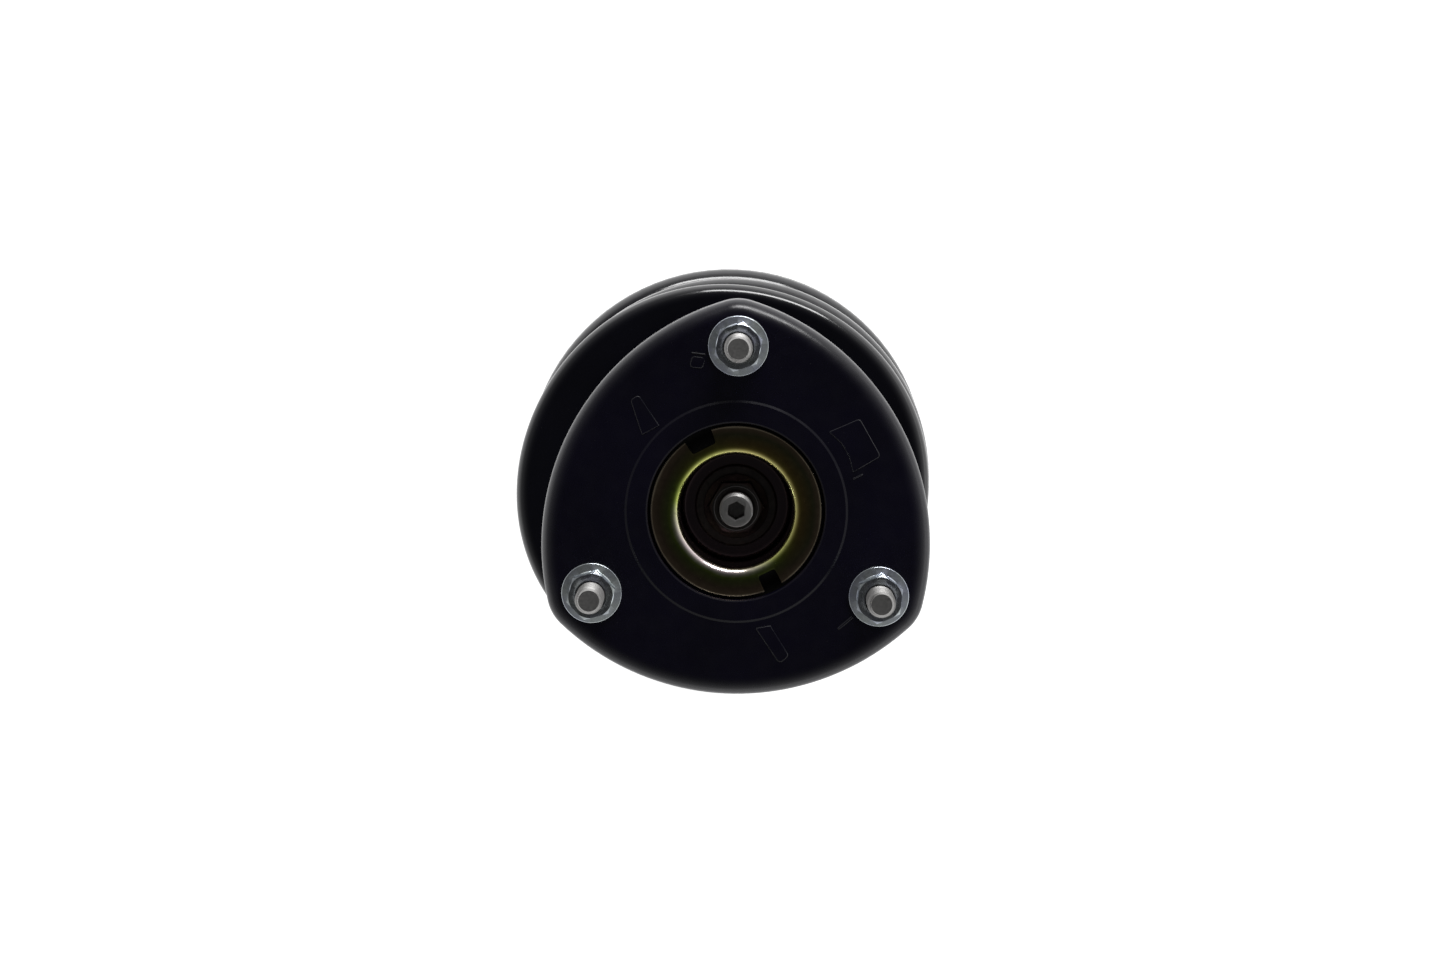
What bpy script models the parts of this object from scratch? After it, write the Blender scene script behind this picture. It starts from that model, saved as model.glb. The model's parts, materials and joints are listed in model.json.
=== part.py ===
"""Coil-spring suspension strut with its three-stud top mount, as separate pieces.

Metres, +Z up along the strut's axis. The origin is on that axis, in the plane of the mount
plate's top face, which bolts up against the car body. At rest the strut is fully extended.
"""

import math

import bmesh
import bpy
from mathutils import Matrix, Vector

# Clearance between pieces that touch, seat on or run in each other
GAP = 0.0003

# Travel of the strut, from full rebound to full bump
STROKE = 0.130

# Mount plate: a rounded triangle with a rolled-down edge, one stud at each corner
STUD_COUNT = 3
STUD_CIRCLE_RADIUS = 0.0594
PLATE_CORNER_RADIUS = 0.0165
PLATE_SIDE_RADIUS = 0.0918
PLATE_ROLL_RADIUS = 0.006
PLATE_THICKNESS = 0.003
PLATE_DEPTH = 0.015
PLATE_OPENING_RADIUS = 0.0318

# Studs and their flange nuts
STUD_RADIUS = 0.005
STUD_LENGTH = 0.025
STUD_CHAMFER = 0.001
STUD_HEAD_RADIUS = 0.0075
STUD_HEAD_HEIGHT = 0.0035
NUT_ACROSS_FLATS = 0.015
NUT_HEIGHT = 0.010
NUT_FLANGE_RADIUS = 0.0108
NUT_FLANGE_HEIGHT = 0.0020
NUT_TURNS_DEG = (18.0, 15.0, 23.5)

# Lower shell of the mount and the rubber bonded in it
SHELL_RADIUS = 0.040
SHELL_THICKNESS = 0.0025
SHELL_LIP_RADIUS = 0.029
SHELL_DROP = 0.001
RUBBER_DROP = 0.002

# Rebound cup: dished washer with two spanner notches in its flange
CUP_CLEARANCE = 0.0009
CUP_TOP = -0.0015
CUP_DEPTH = 0.0254
CUP_RADIUS = 0.0203
CUP_THICKNESS = 0.0018
CUP_BEND_RADIUS = 0.0047
CUP_FLOOR_RADIUS = 0.004
NOTCHES = (
    # (angle in degrees, width at the rim, width at the root, radius of the root)
    (116.8, 0.0108, 0.0092, 0.0252),
    (-64.0, 0.0071, 0.0067, 0.0245),
)

# Hub of the mount
HUB_WALL = 0.0014
HUB_FLOOR = 0.004
HUB_RIM_DROP = 0.0065

# Piston rod, its nut and washer
ROD_RADIUS = 0.010
SPIGOT_RADIUS = 0.006
ROD_TIP = 0.0097
ROD_TIP_CHAMFER = 0.001
SOCKET_ACROSS_FLATS = 0.006
SOCKET_DEPTH = 0.005
WASHER_RADIUS = 0.0148
WASHER_THICKNESS = 0.0022
ROD_NUT_ACROSS_FLATS = 0.018
ROD_NUT_FLANGE_RADIUS = 0.0118
ROD_NUT_FLANGE_HEIGHT = 0.002
ROD_NUT_HEIGHT = 0.0105
ROD_NUT_COLLAR_RADIUS = 0.008
ROD_NUT_COLLAR_HEIGHT = 0.0022

# Bump stop and its cup
STOP_CUP_RADIUS = 0.0245
STOP_CUP_WALL = 0.0015
STOP_CUP_FLOOR = 0.002
STOP_CUP_DEPTH = 0.0077
BUMP_STOP_LENGTH = 0.0815
BUMP_STOP_STATIONS = 6
BUMP_STOP_WAISTS = (2, 4)
BUMP_STOP_WAIST_DEPTH = 0.005
BUMP_STOP_TAPER = 0.0025

# Strut bearing
BALL_COUNT = 12
BALL_RADIUS = 0.0032
BALL_CIRCLE_RADIUS = 0.0335
RACE_HALF_WIDTH = 0.005
RACE_WEB = 0.003
CAGE_HALF_HEIGHT = 0.0011
CAGE_HALF_WIDTH = 0.0042
CAGE_FREE_PLAY = 0.0005
SEAL_THICKNESS = 0.0015
SEAL_RISE = 0.003

# Coil spring; its centre line leans from the strut's axis at the bottom to one side at the top
SPRING_WIRE_RADIUS = 0.0065
SPRING_RADIUS = 0.0726
SPRING_TOP_RADIUS = 0.0647
SPRING_BOTTOM_RADIUS = 0.0626
SPRING_LENGTH = 0.281
SPRING_TURNS = 5.0
SPRING_DEAD_TURNS = 0.7
SPRING_TAPER_TURNS = 1.0
SPRING_START_DEG = 280.4
SPRING_TOP_OFFSET = Vector((-0.0044, 0.0062))
SPRING_BOTTOM_OFFSET = Vector((0.001, 0.0003))

# Upper spring seat and its insulator; the rim isn't round, and each wave of its outline is
# (waves in a turn, height, phase in degrees)
SEAT_WAVES = ((1, 0.00558, 146.5), (2, 0.00066, -1.5), (3, 0.00056, -151.6), (4, 0.00046, 105.8))
SEAT_MARGIN = 0.0058
SEAT_THICKNESS = 0.0025
SEAT_HOLE_RADIUS = 0.026
SEAT_COLLAR_DEPTH = 0.0125
SEAT_PAN_RADIUS = 0.042
SEAT_STEP = 0.0084
SEAT_ROLL_RADIUS = 0.0045
SEAT_RIM_DEPTH = 0.007
SEAT_SHIFT_START = 0.046
SEAT_SHIFT_END = 0.058
INSULATOR_THICKNESS = 0.0045
INSULATOR_MARGIN = 0.001

# Dust boot
BOOT_WALL = 0.0016
BOOT_PLEATS = 7
BOOT_PLEAT_DEPTH = 0.0065
BOOT_CUFF = 0.010

# Outer tube and inner cylinder of the damper
TUBE_RADIUS = 0.0255
TUBE_WALL = 0.0018
CYLINDER_RADIUS = 0.0175
CYLINDER_WALL = 0.0015

# Gland end of the tube
GLAND_WALL = 0.0022
GLAND_SKIRT = 0.014
GLAND_HOLE_CLEARANCE = 0.002
ROD_SEAL_HEIGHT = 0.006
GUIDE_HEIGHT = 0.009
GUIDE_SPIGOT = 0.010
BUSH_WALL = 0.0014
BUSH_RECESS = 0.001

# Piston group on the lower end of the rod
REBOUND_STOP_HEIGHT = 0.008
REBOUND_STOP_CLEARANCE = 0.0012
ROD_BELOW_STOP = 0.024
VALVE_DISC_THICKNESS = 0.002
VALVE_DISC_RADIUS = 0.014
PISTON_HEIGHT = 0.018
PISTON_CLEARANCE = 0.0009
PISTON_BAND_HEIGHT = 0.010
PISTON_BAND_THICKNESS = 0.0018
PISTON_NUT_HEIGHT = 0.010
PISTON_NUT_ACROSS_FLATS = 0.019
ROD_END_LENGTH = 0.003

# Foot of the damper
FOOT_CLEARANCE = 0.003
BASE_VALVE_SPIGOT = 0.006
BASE_VALVE_HEIGHT = 0.022
BASE_VALVE_HOLE_RADIUS = 0.004
BOTTOM_CAP_THICKNESS = 0.006
TUBE_CRIMP = 0.002

# Lower spring seat and its insulator
LOWER_SEAT_THICKNESS = 0.0028
LOWER_SEAT_RIM = 0.009
LOWER_SEAT_CLEARANCE = 0.0021
LOWER_SEAT_COLLAR = 0.018
LOWER_INSULATOR_THICKNESS = 0.004

# Knuckle bracket: a clamp round the tube with two bolted ears
EAR_GAP = 0.036
EAR_THICKNESS = 0.004
EAR_REACH = 0.078
KNUCKLE_HEIGHT = 0.092
KNUCKLE_BOLT_RADIUS = 0.0072
KNUCKLE_BOLT_REACH = 0.058
KNUCKLE_BOLT_SPACING = 0.054
KNUCKLE_CORNER_RADIUS = 0.012

# Hose and stabiliser-link brackets, in the space between the spring seat and the knuckle bracket
BRACKET_SPACE = 0.050
HOSE_BRACKET_ANGLE = math.radians(-35)
HOSE_BRACKET_REACH = 0.062
HOSE_BRACKET_WIDTH = 0.026
HOSE_BRACKET_THICKNESS = 0.003
HOSE_HOLE_RADIUS = 0.0065
LINK_BRACKET_ANGLE = math.radians(180)
LINK_BRACKET_REACH = 0.050
LINK_BRACKET_HEIGHT = 0.034
LINK_BRACKET_THICKNESS = 0.005
LINK_END_RADIUS = 0.013
LINK_END_HALF_ARC = math.radians(80)
LINK_HOLE_RADIUS = 0.0061

# Fineness of the meshes
ARC_STEPS = 2
FINE = 28
MEDIUM = 20
COARSE = 18
RIM = 32
PLATE_CORNER_STEPS = 5
PLATE_SIDE_STEPS = 8
GROOVE_STEPS = 4
POCKET_SIDES = 8
BRACKET_ARC_STEPS = 8
WIRE_SIDES = 6
STEPS_PER_TURN = 18

# Heights, worked out from the mount plate downwards
PLATE_BOTTOM = -PLATE_THICKNESS
SHELL_TOP = PLATE_BOTTOM - GAP
CUP_FLOOR = CUP_TOP - CUP_DEPTH
WASHER_BOTTOM = CUP_FLOOR + GAP
ROD_NUT_BOTTOM = WASHER_BOTTOM + WASHER_THICKNESS + GAP
ROD_TOP = ROD_NUT_BOTTOM + ROD_NUT_HEIGHT + ROD_TIP
HUB_INSIDE = CUP_FLOOR - CUP_THICKNESS - GAP
HUB_BOTTOM = HUB_INSIDE - HUB_FLOOR
HUB_TOP = CUP_TOP - HUB_RIM_DROP
ROD_SHOULDER = HUB_BOTTOM - GAP
SHELL_BOTTOM = HUB_BOTTOM - SHELL_DROP

STOP_CUP_TOP = HUB_BOTTOM - GAP
BUMP_STOP_TOP = STOP_CUP_TOP - STOP_CUP_FLOOR - GAP
BUMP_STOP_BOTTOM = BUMP_STOP_TOP - BUMP_STOP_LENGTH

BEARING_TOP = SHELL_BOTTOM - GAP
BALL_PLANE = BEARING_TOP - RACE_WEB - GAP - BALL_RADIUS
BEARING_BOTTOM = BALL_PLANE - BALL_RADIUS - GAP - RACE_WEB
RACE_FACE = CAGE_HALF_HEIGHT + CAGE_FREE_PLAY

SEAT_PAN_TOP = BEARING_BOTTOM - GAP
SEAT_FLANGE_TOP = SEAT_PAN_TOP - SEAT_STEP
SEAT_INSIDE = SEAT_FLANGE_TOP - SEAT_THICKNESS
INSULATOR_TOP = SEAT_INSIDE - GAP
SPRING_TOP = INSULATOR_TOP - INSULATOR_THICKNESS - GAP
SPRING_BOTTOM = SPRING_TOP - SPRING_LENGTH

GLAND_TOP = BUMP_STOP_BOTTOM - GAP - STROKE
TUBE_TOP = GLAND_TOP - GLAND_WALL - GAP
ROD_SEAL_TOP = TUBE_TOP
GUIDE_TOP = ROD_SEAL_TOP - ROD_SEAL_HEIGHT - GAP
GUIDE_SHOULDER = GUIDE_TOP - GUIDE_HEIGHT
GUIDE_BOTTOM = GUIDE_SHOULDER - GUIDE_SPIGOT
REBOUND_STOP_TOP = GUIDE_BOTTOM - GAP
ROD_LOWER_SHOULDER = REBOUND_STOP_TOP - REBOUND_STOP_HEIGHT - ROD_BELOW_STOP
VALVE_DISC_TOP = ROD_LOWER_SHOULDER - GAP
PISTON_TOP = VALVE_DISC_TOP - VALVE_DISC_THICKNESS - GAP
PISTON_BOTTOM = PISTON_TOP - PISTON_HEIGHT
PISTON_NUT_TOP = PISTON_BOTTOM - GAP
ROD_BOTTOM = PISTON_NUT_TOP - PISTON_NUT_HEIGHT - ROD_END_LENGTH

LOWER_INSULATOR_TOP = SPRING_BOTTOM - GAP
LOWER_SEAT_TOP = LOWER_INSULATOR_TOP - LOWER_INSULATOR_THICKNESS - GAP
LOWER_SEAT_BOTTOM = LOWER_SEAT_TOP - LOWER_SEAT_COLLAR
KNUCKLE_TOP = LOWER_SEAT_BOTTOM - BRACKET_SPACE
KNUCKLE_BOTTOM = KNUCKLE_TOP - KNUCKLE_HEIGHT
FOOT_DEPTH = BASE_VALVE_HEIGHT + GAP + BOTTOM_CAP_THICKNESS + TUBE_CRIMP
FULL_BUMP_END = ROD_BOTTOM - STROKE - FOOT_CLEARANCE - FOOT_DEPTH
TUBE_BOTTOM = min(FULL_BUMP_END, KNUCKLE_BOTTOM - FOOT_CLEARANCE)
BOTTOM_CAP_BOTTOM = TUBE_BOTTOM + TUBE_CRIMP
BASE_VALVE_BOTTOM = BOTTOM_CAP_BOTTOM + BOTTOM_CAP_THICKNESS + GAP
BASE_VALVE_TOP = BASE_VALVE_BOTTOM + BASE_VALVE_HEIGHT
BRACKET_MIDDLE = (LOWER_SEAT_BOTTOM + KNUCKLE_TOP) / 2

# Radii that follow from their neighbours
CUP_FLANGE_RADIUS = PLATE_OPENING_RADIUS - CUP_CLEARANCE
CUP_OUTER_RADIUS = CUP_RADIUS + CUP_THICKNESS
HUB_RADIUS = CUP_OUTER_RADIUS + GAP + HUB_WALL
SHELL_INNER_RADIUS = SHELL_RADIUS - SHELL_THICKNESS
SHELL_FLANGE_RADIUS = STUD_CIRCLE_RADIUS - STUD_HEAD_RADIUS - 3 * GAP
SEAT_RADIUS = SPRING_TOP_RADIUS + SPRING_WIRE_RADIUS + SEAT_MARGIN
SEAT_INNER_RADIUS = SEAT_RADIUS - SEAT_THICKNESS
TUBE_INNER_RADIUS = TUBE_RADIUS - TUBE_WALL
CYLINDER_OUTER_RADIUS = CYLINDER_RADIUS + CYLINDER_WALL
GLAND_RADIUS = TUBE_RADIUS + GAP + GLAND_WALL
BOOT_BORE = (max(SEAT_HOLE_RADIUS + SEAT_THICKNESS, GLAND_RADIUS) + GAP) / math.cos(math.pi / COARSE)
LOWER_SEAT_RADIUS = SPRING_BOTTOM_RADIUS + SPRING_WIRE_RADIUS + LOWER_SEAT_CLEARANCE + LOWER_SEAT_THICKNESS

# Finishes: colour, metallic, roughness
FINISHES = {
    "black_coat": ((0.010, 0.010, 0.014), 0.3, 0.35),
    "bright_zinc": ((0.72, 0.75, 0.80), 1.0, 0.25),
    "steel": ((0.40, 0.39, 0.38), 1.0, 0.38),
    "yellow_zinc": ((0.55, 0.45, 0.16), 1.0, 0.28),
    "black_rubber": ((0.015, 0.015, 0.015), 0.0, 0.75),
    "foam": ((0.70, 0.62, 0.42), 0.0, 0.85),
    "plastic": ((0.03, 0.03, 0.035), 0.0, 0.45),
    "chrome": ((0.75, 0.76, 0.78), 1.0, 0.08),
    "bronze": ((0.50, 0.33, 0.16), 1.0, 0.40),
}


def polar(radius, angle):
    """Point at this radius and angle."""
    return Vector((radius * math.cos(angle), radius * math.sin(angle)))


def arc(centre, radius, start, end, steps):
    """Points of an arc, both ends included."""
    turn = (end - start) / steps
    return [Vector(centre) + polar(radius, start + turn * step) for step in range(steps + 1)]


def rounded(corners):
    """Closed outline through the corners, each (u, v) or (u, v, radius of its rounding)."""
    outline = []
    for index, (u, v, *radius) in enumerate(corners):
        here = Vector((u, v))
        if not radius:
            outline.append(here)
            continue
        before = (Vector(corners[index - 1][:2]) - here).normalized()
        after = (Vector(corners[(index + 1) % len(corners)][:2]) - here).normalized()
        half = before.angle(after) / 2
        centre = here + (before + after).normalized() * radius[0] / math.sin(half)
        start = here + before * radius[0] / math.tan(half) - centre
        sweep = math.copysign(math.pi - 2 * half, after.x * before.y - after.y * before.x)
        angle = math.atan2(start.y, start.x)
        outline += arc(centre, radius[0], angle, angle + sweep, ARC_STEPS)
    return outline


def circle_ring(radius, z, count):
    """Ring of points round the axis."""
    return [(*polar(radius, math.tau * step / count), z) for step in range(count)]


def hexagon_ring(across_flats, z, count):
    """Hexagon with a corner on +X and the same number of points as a circle of that count."""
    ring = []
    for step in range(count):
        angle = math.tau * step / count
        from_flat = angle % math.radians(60) - math.radians(30)
        ring.append((*polar(across_flats / 2 / math.cos(from_flat), angle), z))
    return ring


def loft(rings, closed):
    """Skin over the rings; a closed skin joins the last ring to the first, an open one is capped."""
    bm = bmesh.new()
    loops = [[bm.verts.new(point) for point in ring] for ring in rings]
    pairs = list(zip(loops, loops[1:]))
    if closed:
        pairs.append((loops[-1], loops[0]))
    else:
        bm.faces.new(loops[0])
        bm.faces.new(loops[-1])
    for one, other in pairs:
        for index in range(len(one)):
            bm.faces.new((one[index - 1], one[index], other[index], other[index - 1]))
    bmesh.ops.recalc_face_normals(bm, faces=bm.faces)
    return bm


def turned(profile, segments):
    """Solid of revolution about Z: a loop of (radius, z), or a chain with both ends on the axis."""
    bm = bmesh.new()
    verts = [bm.verts.new((radius, 0, z)) for radius, z in profile]
    edges = [bm.edges.new(pair) for pair in zip(verts, verts[1:])]
    if profile[0][0] > 0:
        edges.append(bm.edges.new((verts[-1], verts[0])))
    bmesh.ops.spin(
        bm, geom=verts + edges, cent=(0, 0, 0), axis=(0, 0, 1),
        angle=math.tau, steps=segments, use_merge=True,
    )
    bmesh.ops.remove_doubles(bm, verts=bm.verts, dist=1e-6)
    bmesh.ops.recalc_face_normals(bm, faces=bm.faces)
    return bm


def tube(inner, outer, bottom, top, segments, rounding=0.0):
    """Plain ring of rectangular section."""
    corners = [(inner, bottom), (outer, bottom), (outer, top), (inner, top)]
    if rounding:
        corners = [(*corner, rounding) for corner in corners]
    return turned(rounded(corners), segments)


def prism(outline, low, high):
    """Outline in X and Y, extruded along Z."""
    bm = bmesh.new()
    face = bm.faces.new([bm.verts.new((*point, low)) for point in outline])
    top = bmesh.ops.extrude_face_region(bm, geom=[face])["geom"]
    moved = [item for item in top if isinstance(item, bmesh.types.BMVert)]
    bmesh.ops.translate(bm, verts=moved, vec=(0, 0, high - low))
    bmesh.ops.recalc_face_normals(bm, faces=bm.faces)
    return bm


def material(finish):
    """Material of a named finish, made the first time it is asked for."""
    found = bpy.data.materials.get(finish)
    if found:
        return found
    colour, metallic, roughness = FINISHES[finish]
    made = bpy.data.materials.new(finish)
    made.use_nodes = True
    shader = made.node_tree.nodes["Principled BSDF"]
    shader.inputs["Base Color"].default_value = (*colour, 1)
    shader.inputs["Metallic"].default_value = metallic
    shader.inputs["Roughness"].default_value = roughness
    return made


def mesh_from(name, bm, finish):
    """Mesh data with its finish, shaded smooth between its sharp edges."""
    mesh = bpy.data.meshes.new(name)
    bm.to_mesh(mesh)
    bm.free()
    mesh.materials.append(material(finish))
    mesh.shade_smooth()
    mesh.set_sharp_from_angle(angle=math.radians(35))
    return mesh


def add_empty(name):
    """Parent for the pieces of one body, on the strut's axis."""
    empty = bpy.data.objects.new(name, None)
    bpy.context.scene.collection.objects.link(empty)
    return empty


def add_mesh(name, mesh, parent, at=(0, 0, 0), turn=0.0):
    """Object that shows a mesh at a place under its parent, turned about Z."""
    piece = bpy.data.objects.new(name, mesh)
    bpy.context.scene.collection.objects.link(piece)
    piece.parent = parent
    piece.location = at
    piece.rotation_euler.z = turn
    return piece


def add_piece(name, bm, finish, parent, at=(0, 0, 0), turn=0.0):
    """Object with a mesh of its own."""
    return add_mesh(name, mesh_from(name, bm, finish), parent, at, turn)


def combine(piece, name, bm, operation="DIFFERENCE"):
    """Boolean of a piece with a helper shape in the piece's own coordinates."""
    mesh = bpy.data.meshes.new(name)
    bm.to_mesh(mesh)
    bm.free()
    helper = add_mesh(name, mesh, piece)
    helper.hide_render = True
    helper.display_type = "WIRE"
    modifier = piece.modifiers.new(name, "BOOLEAN")
    modifier.operation = operation
    modifier.object = helper


def drills(places, radius, length, axis="Z"):
    """Cylinders at these places, along one axis, to cut holes with."""
    bm = bmesh.new()
    turn = {"X": Matrix.Rotation(math.radians(90), 4, "Y"), "Z": Matrix.Identity(4)}[axis]
    for place in places:
        bmesh.ops.create_cone(
            bm, cap_ends=True, segments=COARSE, radius1=radius, radius2=radius,
            depth=length, matrix=Matrix.Translation(place) @ turn,
        )
    return bm


def stud_angles():
    """Angles of the studs, the first one on +Y."""
    return [math.radians(90) + math.tau * index / STUD_COUNT for index in range(STUD_COUNT)]


def plate_outline(inset):
    """Arcs round the studs joined by tangent side arcs, all moved in by the inset."""
    half_step = math.pi / STUD_COUNT
    half_side = STUD_CIRCLE_RADIUS * math.sin(half_step)
    reach = math.sqrt((PLATE_SIDE_RADIUS - PLATE_CORNER_RADIUS) ** 2 - half_side**2)
    centre_distance = reach - STUD_CIRCLE_RADIUS * math.cos(half_step)
    side_half = math.atan2(half_side, reach)
    corner_half = half_step - side_half
    outline = []
    for angle in stud_angles():
        side = angle + half_step
        outline += arc(
            polar(STUD_CIRCLE_RADIUS, angle), PLATE_CORNER_RADIUS - inset,
            angle - corner_half, angle + corner_half, PLATE_CORNER_STEPS,
        )[:-1]
        outline += arc(
            polar(-centre_distance, side), PLATE_SIDE_RADIUS - inset,
            side - side_half, side + side_half, PLATE_SIDE_STEPS,
        )[:-1]
    return outline


def plate_opening(z):
    """Edge of the central opening, with one point for each point of the outline."""
    return [(*polar(PLATE_OPENING_RADIUS, math.atan2(point.y, point.x)), z) for point in plate_outline(0)]


def plate_roll(thickness):
    """Rings over the rolled edge of the skin this far below the plate's top face."""
    radius = PLATE_ROLL_RADIUS - thickness
    rings = []
    for step in range(ARC_STEPS + 2):
        angle = math.radians(90) * step / (ARC_STEPS + 1)
        inset = PLATE_ROLL_RADIUS - radius * math.sin(angle)
        z = radius * math.cos(angle) - PLATE_ROLL_RADIUS
        rings.append([(*point, z) for point in plate_outline(inset)])
    rings.append([(*point, -PLATE_DEPTH) for point in plate_outline(thickness)])
    return rings


def build_mount_plate(parent):
    """Stamped plate with its opening and stud holes."""
    outer = [plate_opening(0.0)] + plate_roll(0.0)
    inner = [plate_opening(PLATE_BOTTOM)] + plate_roll(PLATE_THICKNESS)
    plate = add_piece("mount_plate", loft(outer + inner[::-1], True), "black_coat", parent)
    places = [(*polar(STUD_CIRCLE_RADIUS, angle), 0) for angle in stud_angles()]
    combine(plate, "stud_holes", drills(places, STUD_RADIUS + GAP, 4 * PLATE_THICKNESS))


def build_studs_and_nuts(parent):
    """Studs pressed in from below, each with its flange nut on the plate."""
    stud_profile = [
        (0, PLATE_BOTTOM - GAP - STUD_HEAD_HEIGHT),
        (STUD_HEAD_RADIUS, PLATE_BOTTOM - GAP - STUD_HEAD_HEIGHT),
        (STUD_HEAD_RADIUS, PLATE_BOTTOM - GAP),
        (STUD_RADIUS, PLATE_BOTTOM - GAP),
        (STUD_RADIUS, STUD_LENGTH - STUD_CHAMFER),
        (STUD_RADIUS - STUD_CHAMFER, STUD_LENGTH),
        (0, STUD_LENGTH),
    ]
    stud = mesh_from("stud", turned(stud_profile, COARSE), "steel")
    bore = STUD_RADIUS + GAP
    hex_foot = GAP + NUT_FLANGE_HEIGHT + (NUT_FLANGE_RADIUS - NUT_ACROSS_FLATS / 2) / 2
    nut = mesh_from("flange_nut", flanged_nut(
        bore, NUT_ACROSS_FLATS, NUT_FLANGE_RADIUS, GAP, GAP + NUT_FLANGE_HEIGHT / 2, hex_foot,
        [(NUT_ACROSS_FLATS / 2, GAP + NUT_HEIGHT)],
    ), "bright_zinc")
    for number, (angle, turn) in enumerate(zip(stud_angles(), NUT_TURNS_DEG), 1):
        place = (*polar(STUD_CIRCLE_RADIUS, angle), 0)
        add_mesh(f"mount_stud_{number}", stud, parent, place)
        add_mesh(f"flange_nut_{number}", nut, parent, place, math.radians(turn))


def flanged_nut(bore, across_flats, flange_radius, bottom, flange_top, hex_foot, crown):
    """Hexagon on a flange; the crown is (radius, z) from the hexagon's top inwards."""
    corner_chamfer = across_flats / 2 * (1 / math.cos(math.radians(30)) - 1)
    hex_top = crown[0][1] - corner_chamfer
    rings = [
        circle_ring(bore, bottom, COARSE),
        circle_ring(flange_radius, bottom, COARSE),
        circle_ring(flange_radius, flange_top, COARSE),
        hexagon_ring(across_flats, hex_foot, COARSE),
        hexagon_ring(across_flats, hex_top, COARSE),
        *[circle_ring(radius, z, COARSE) for radius, z in crown],
        circle_ring(bore, crown[-1][1], COARSE),
    ]
    return loft(rings, True)


def build_shell(parent):
    """Lower shell: flange under the plate, wall round the rubber, lip below it."""
    top, bottom, thick = SHELL_TOP, SHELL_BOTTOM, SHELL_THICKNESS
    profile = rounded([
        (SHELL_FLANGE_RADIUS, top),
        (SHELL_FLANGE_RADIUS, top - thick),
        (SHELL_RADIUS, top - thick),
        (SHELL_RADIUS, bottom, thick),
        (SHELL_LIP_RADIUS, bottom),
        (SHELL_LIP_RADIUS, bottom + thick),
        (SHELL_INNER_RADIUS, bottom + thick),
        (SHELL_INNER_RADIUS, top, thick),
    ])
    add_piece("mount_lower_shell", turned(profile, MEDIUM), "black_coat", parent)


def build_rubber_and_hub(parent):
    """Rubber ring and the cup-shaped steel hub in it."""
    add_piece("mount_rubber", tube(
        HUB_RADIUS + GAP, SHELL_INNER_RADIUS - GAP,
        SHELL_BOTTOM + SHELL_THICKNESS + GAP, PLATE_BOTTOM - RUBBER_DROP, MEDIUM,
    ), "black_rubber", parent)
    profile = rounded([
        (HUB_RADIUS, HUB_TOP),
        (HUB_RADIUS, HUB_BOTTOM, HUB_FLOOR / 2),
        (SPIGOT_RADIUS + GAP, HUB_BOTTOM),
        (SPIGOT_RADIUS + GAP, HUB_INSIDE),
        (HUB_RADIUS - HUB_WALL, HUB_INSIDE, CUP_FLOOR_RADIUS),
        (HUB_RADIUS - HUB_WALL, HUB_TOP),
    ])
    add_piece("mount_hub", turned(profile, MEDIUM), "steel", parent)


def notch(angle, rim_width, root_width, root_radius):
    """Cutter for one notch, wider at the rim than at its root."""
    past_rim = CUP_FLANGE_RADIUS + CUP_THICKNESS
    slope = (rim_width - root_width) / 2 / (CUP_FLANGE_RADIUS - root_radius)
    outer = rim_width / 2 + slope * (past_rim - CUP_FLANGE_RADIUS)
    corners = [
        (root_radius, -root_width / 2), (past_rim, -outer),
        (past_rim, outer), (root_radius, root_width / 2),
    ]
    turn = Matrix.Rotation(math.radians(angle), 2)
    outline = [turn @ Vector(corner) for corner in corners]
    return prism(outline, CUP_TOP - 2 * CUP_THICKNESS, CUP_TOP + CUP_THICKNESS)


def build_cup(parent):
    """Rebound cup with its spanner notches."""
    under = CUP_TOP - CUP_THICKNESS
    profile = rounded([
        (CUP_FLANGE_RADIUS, CUP_TOP),
        (CUP_RADIUS, CUP_TOP, CUP_BEND_RADIUS),
        (CUP_RADIUS, CUP_FLOOR, CUP_FLOOR_RADIUS - CUP_THICKNESS),
        (SPIGOT_RADIUS + GAP, CUP_FLOOR),
        (SPIGOT_RADIUS + GAP, CUP_FLOOR - CUP_THICKNESS),
        (CUP_OUTER_RADIUS, CUP_FLOOR - CUP_THICKNESS, CUP_FLOOR_RADIUS),
        (CUP_OUTER_RADIUS, under, CUP_BEND_RADIUS - CUP_THICKNESS),
        (CUP_FLANGE_RADIUS, under),
    ])
    cup = add_piece("rebound_cup", turned(profile, FINE), "yellow_zinc", parent)
    for number, (angle, rim_width, root_width, root_radius) in enumerate(NOTCHES, 1):
        combine(cup, f"spanner_notch_{number}", notch(angle, rim_width, root_width, root_radius))


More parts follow.
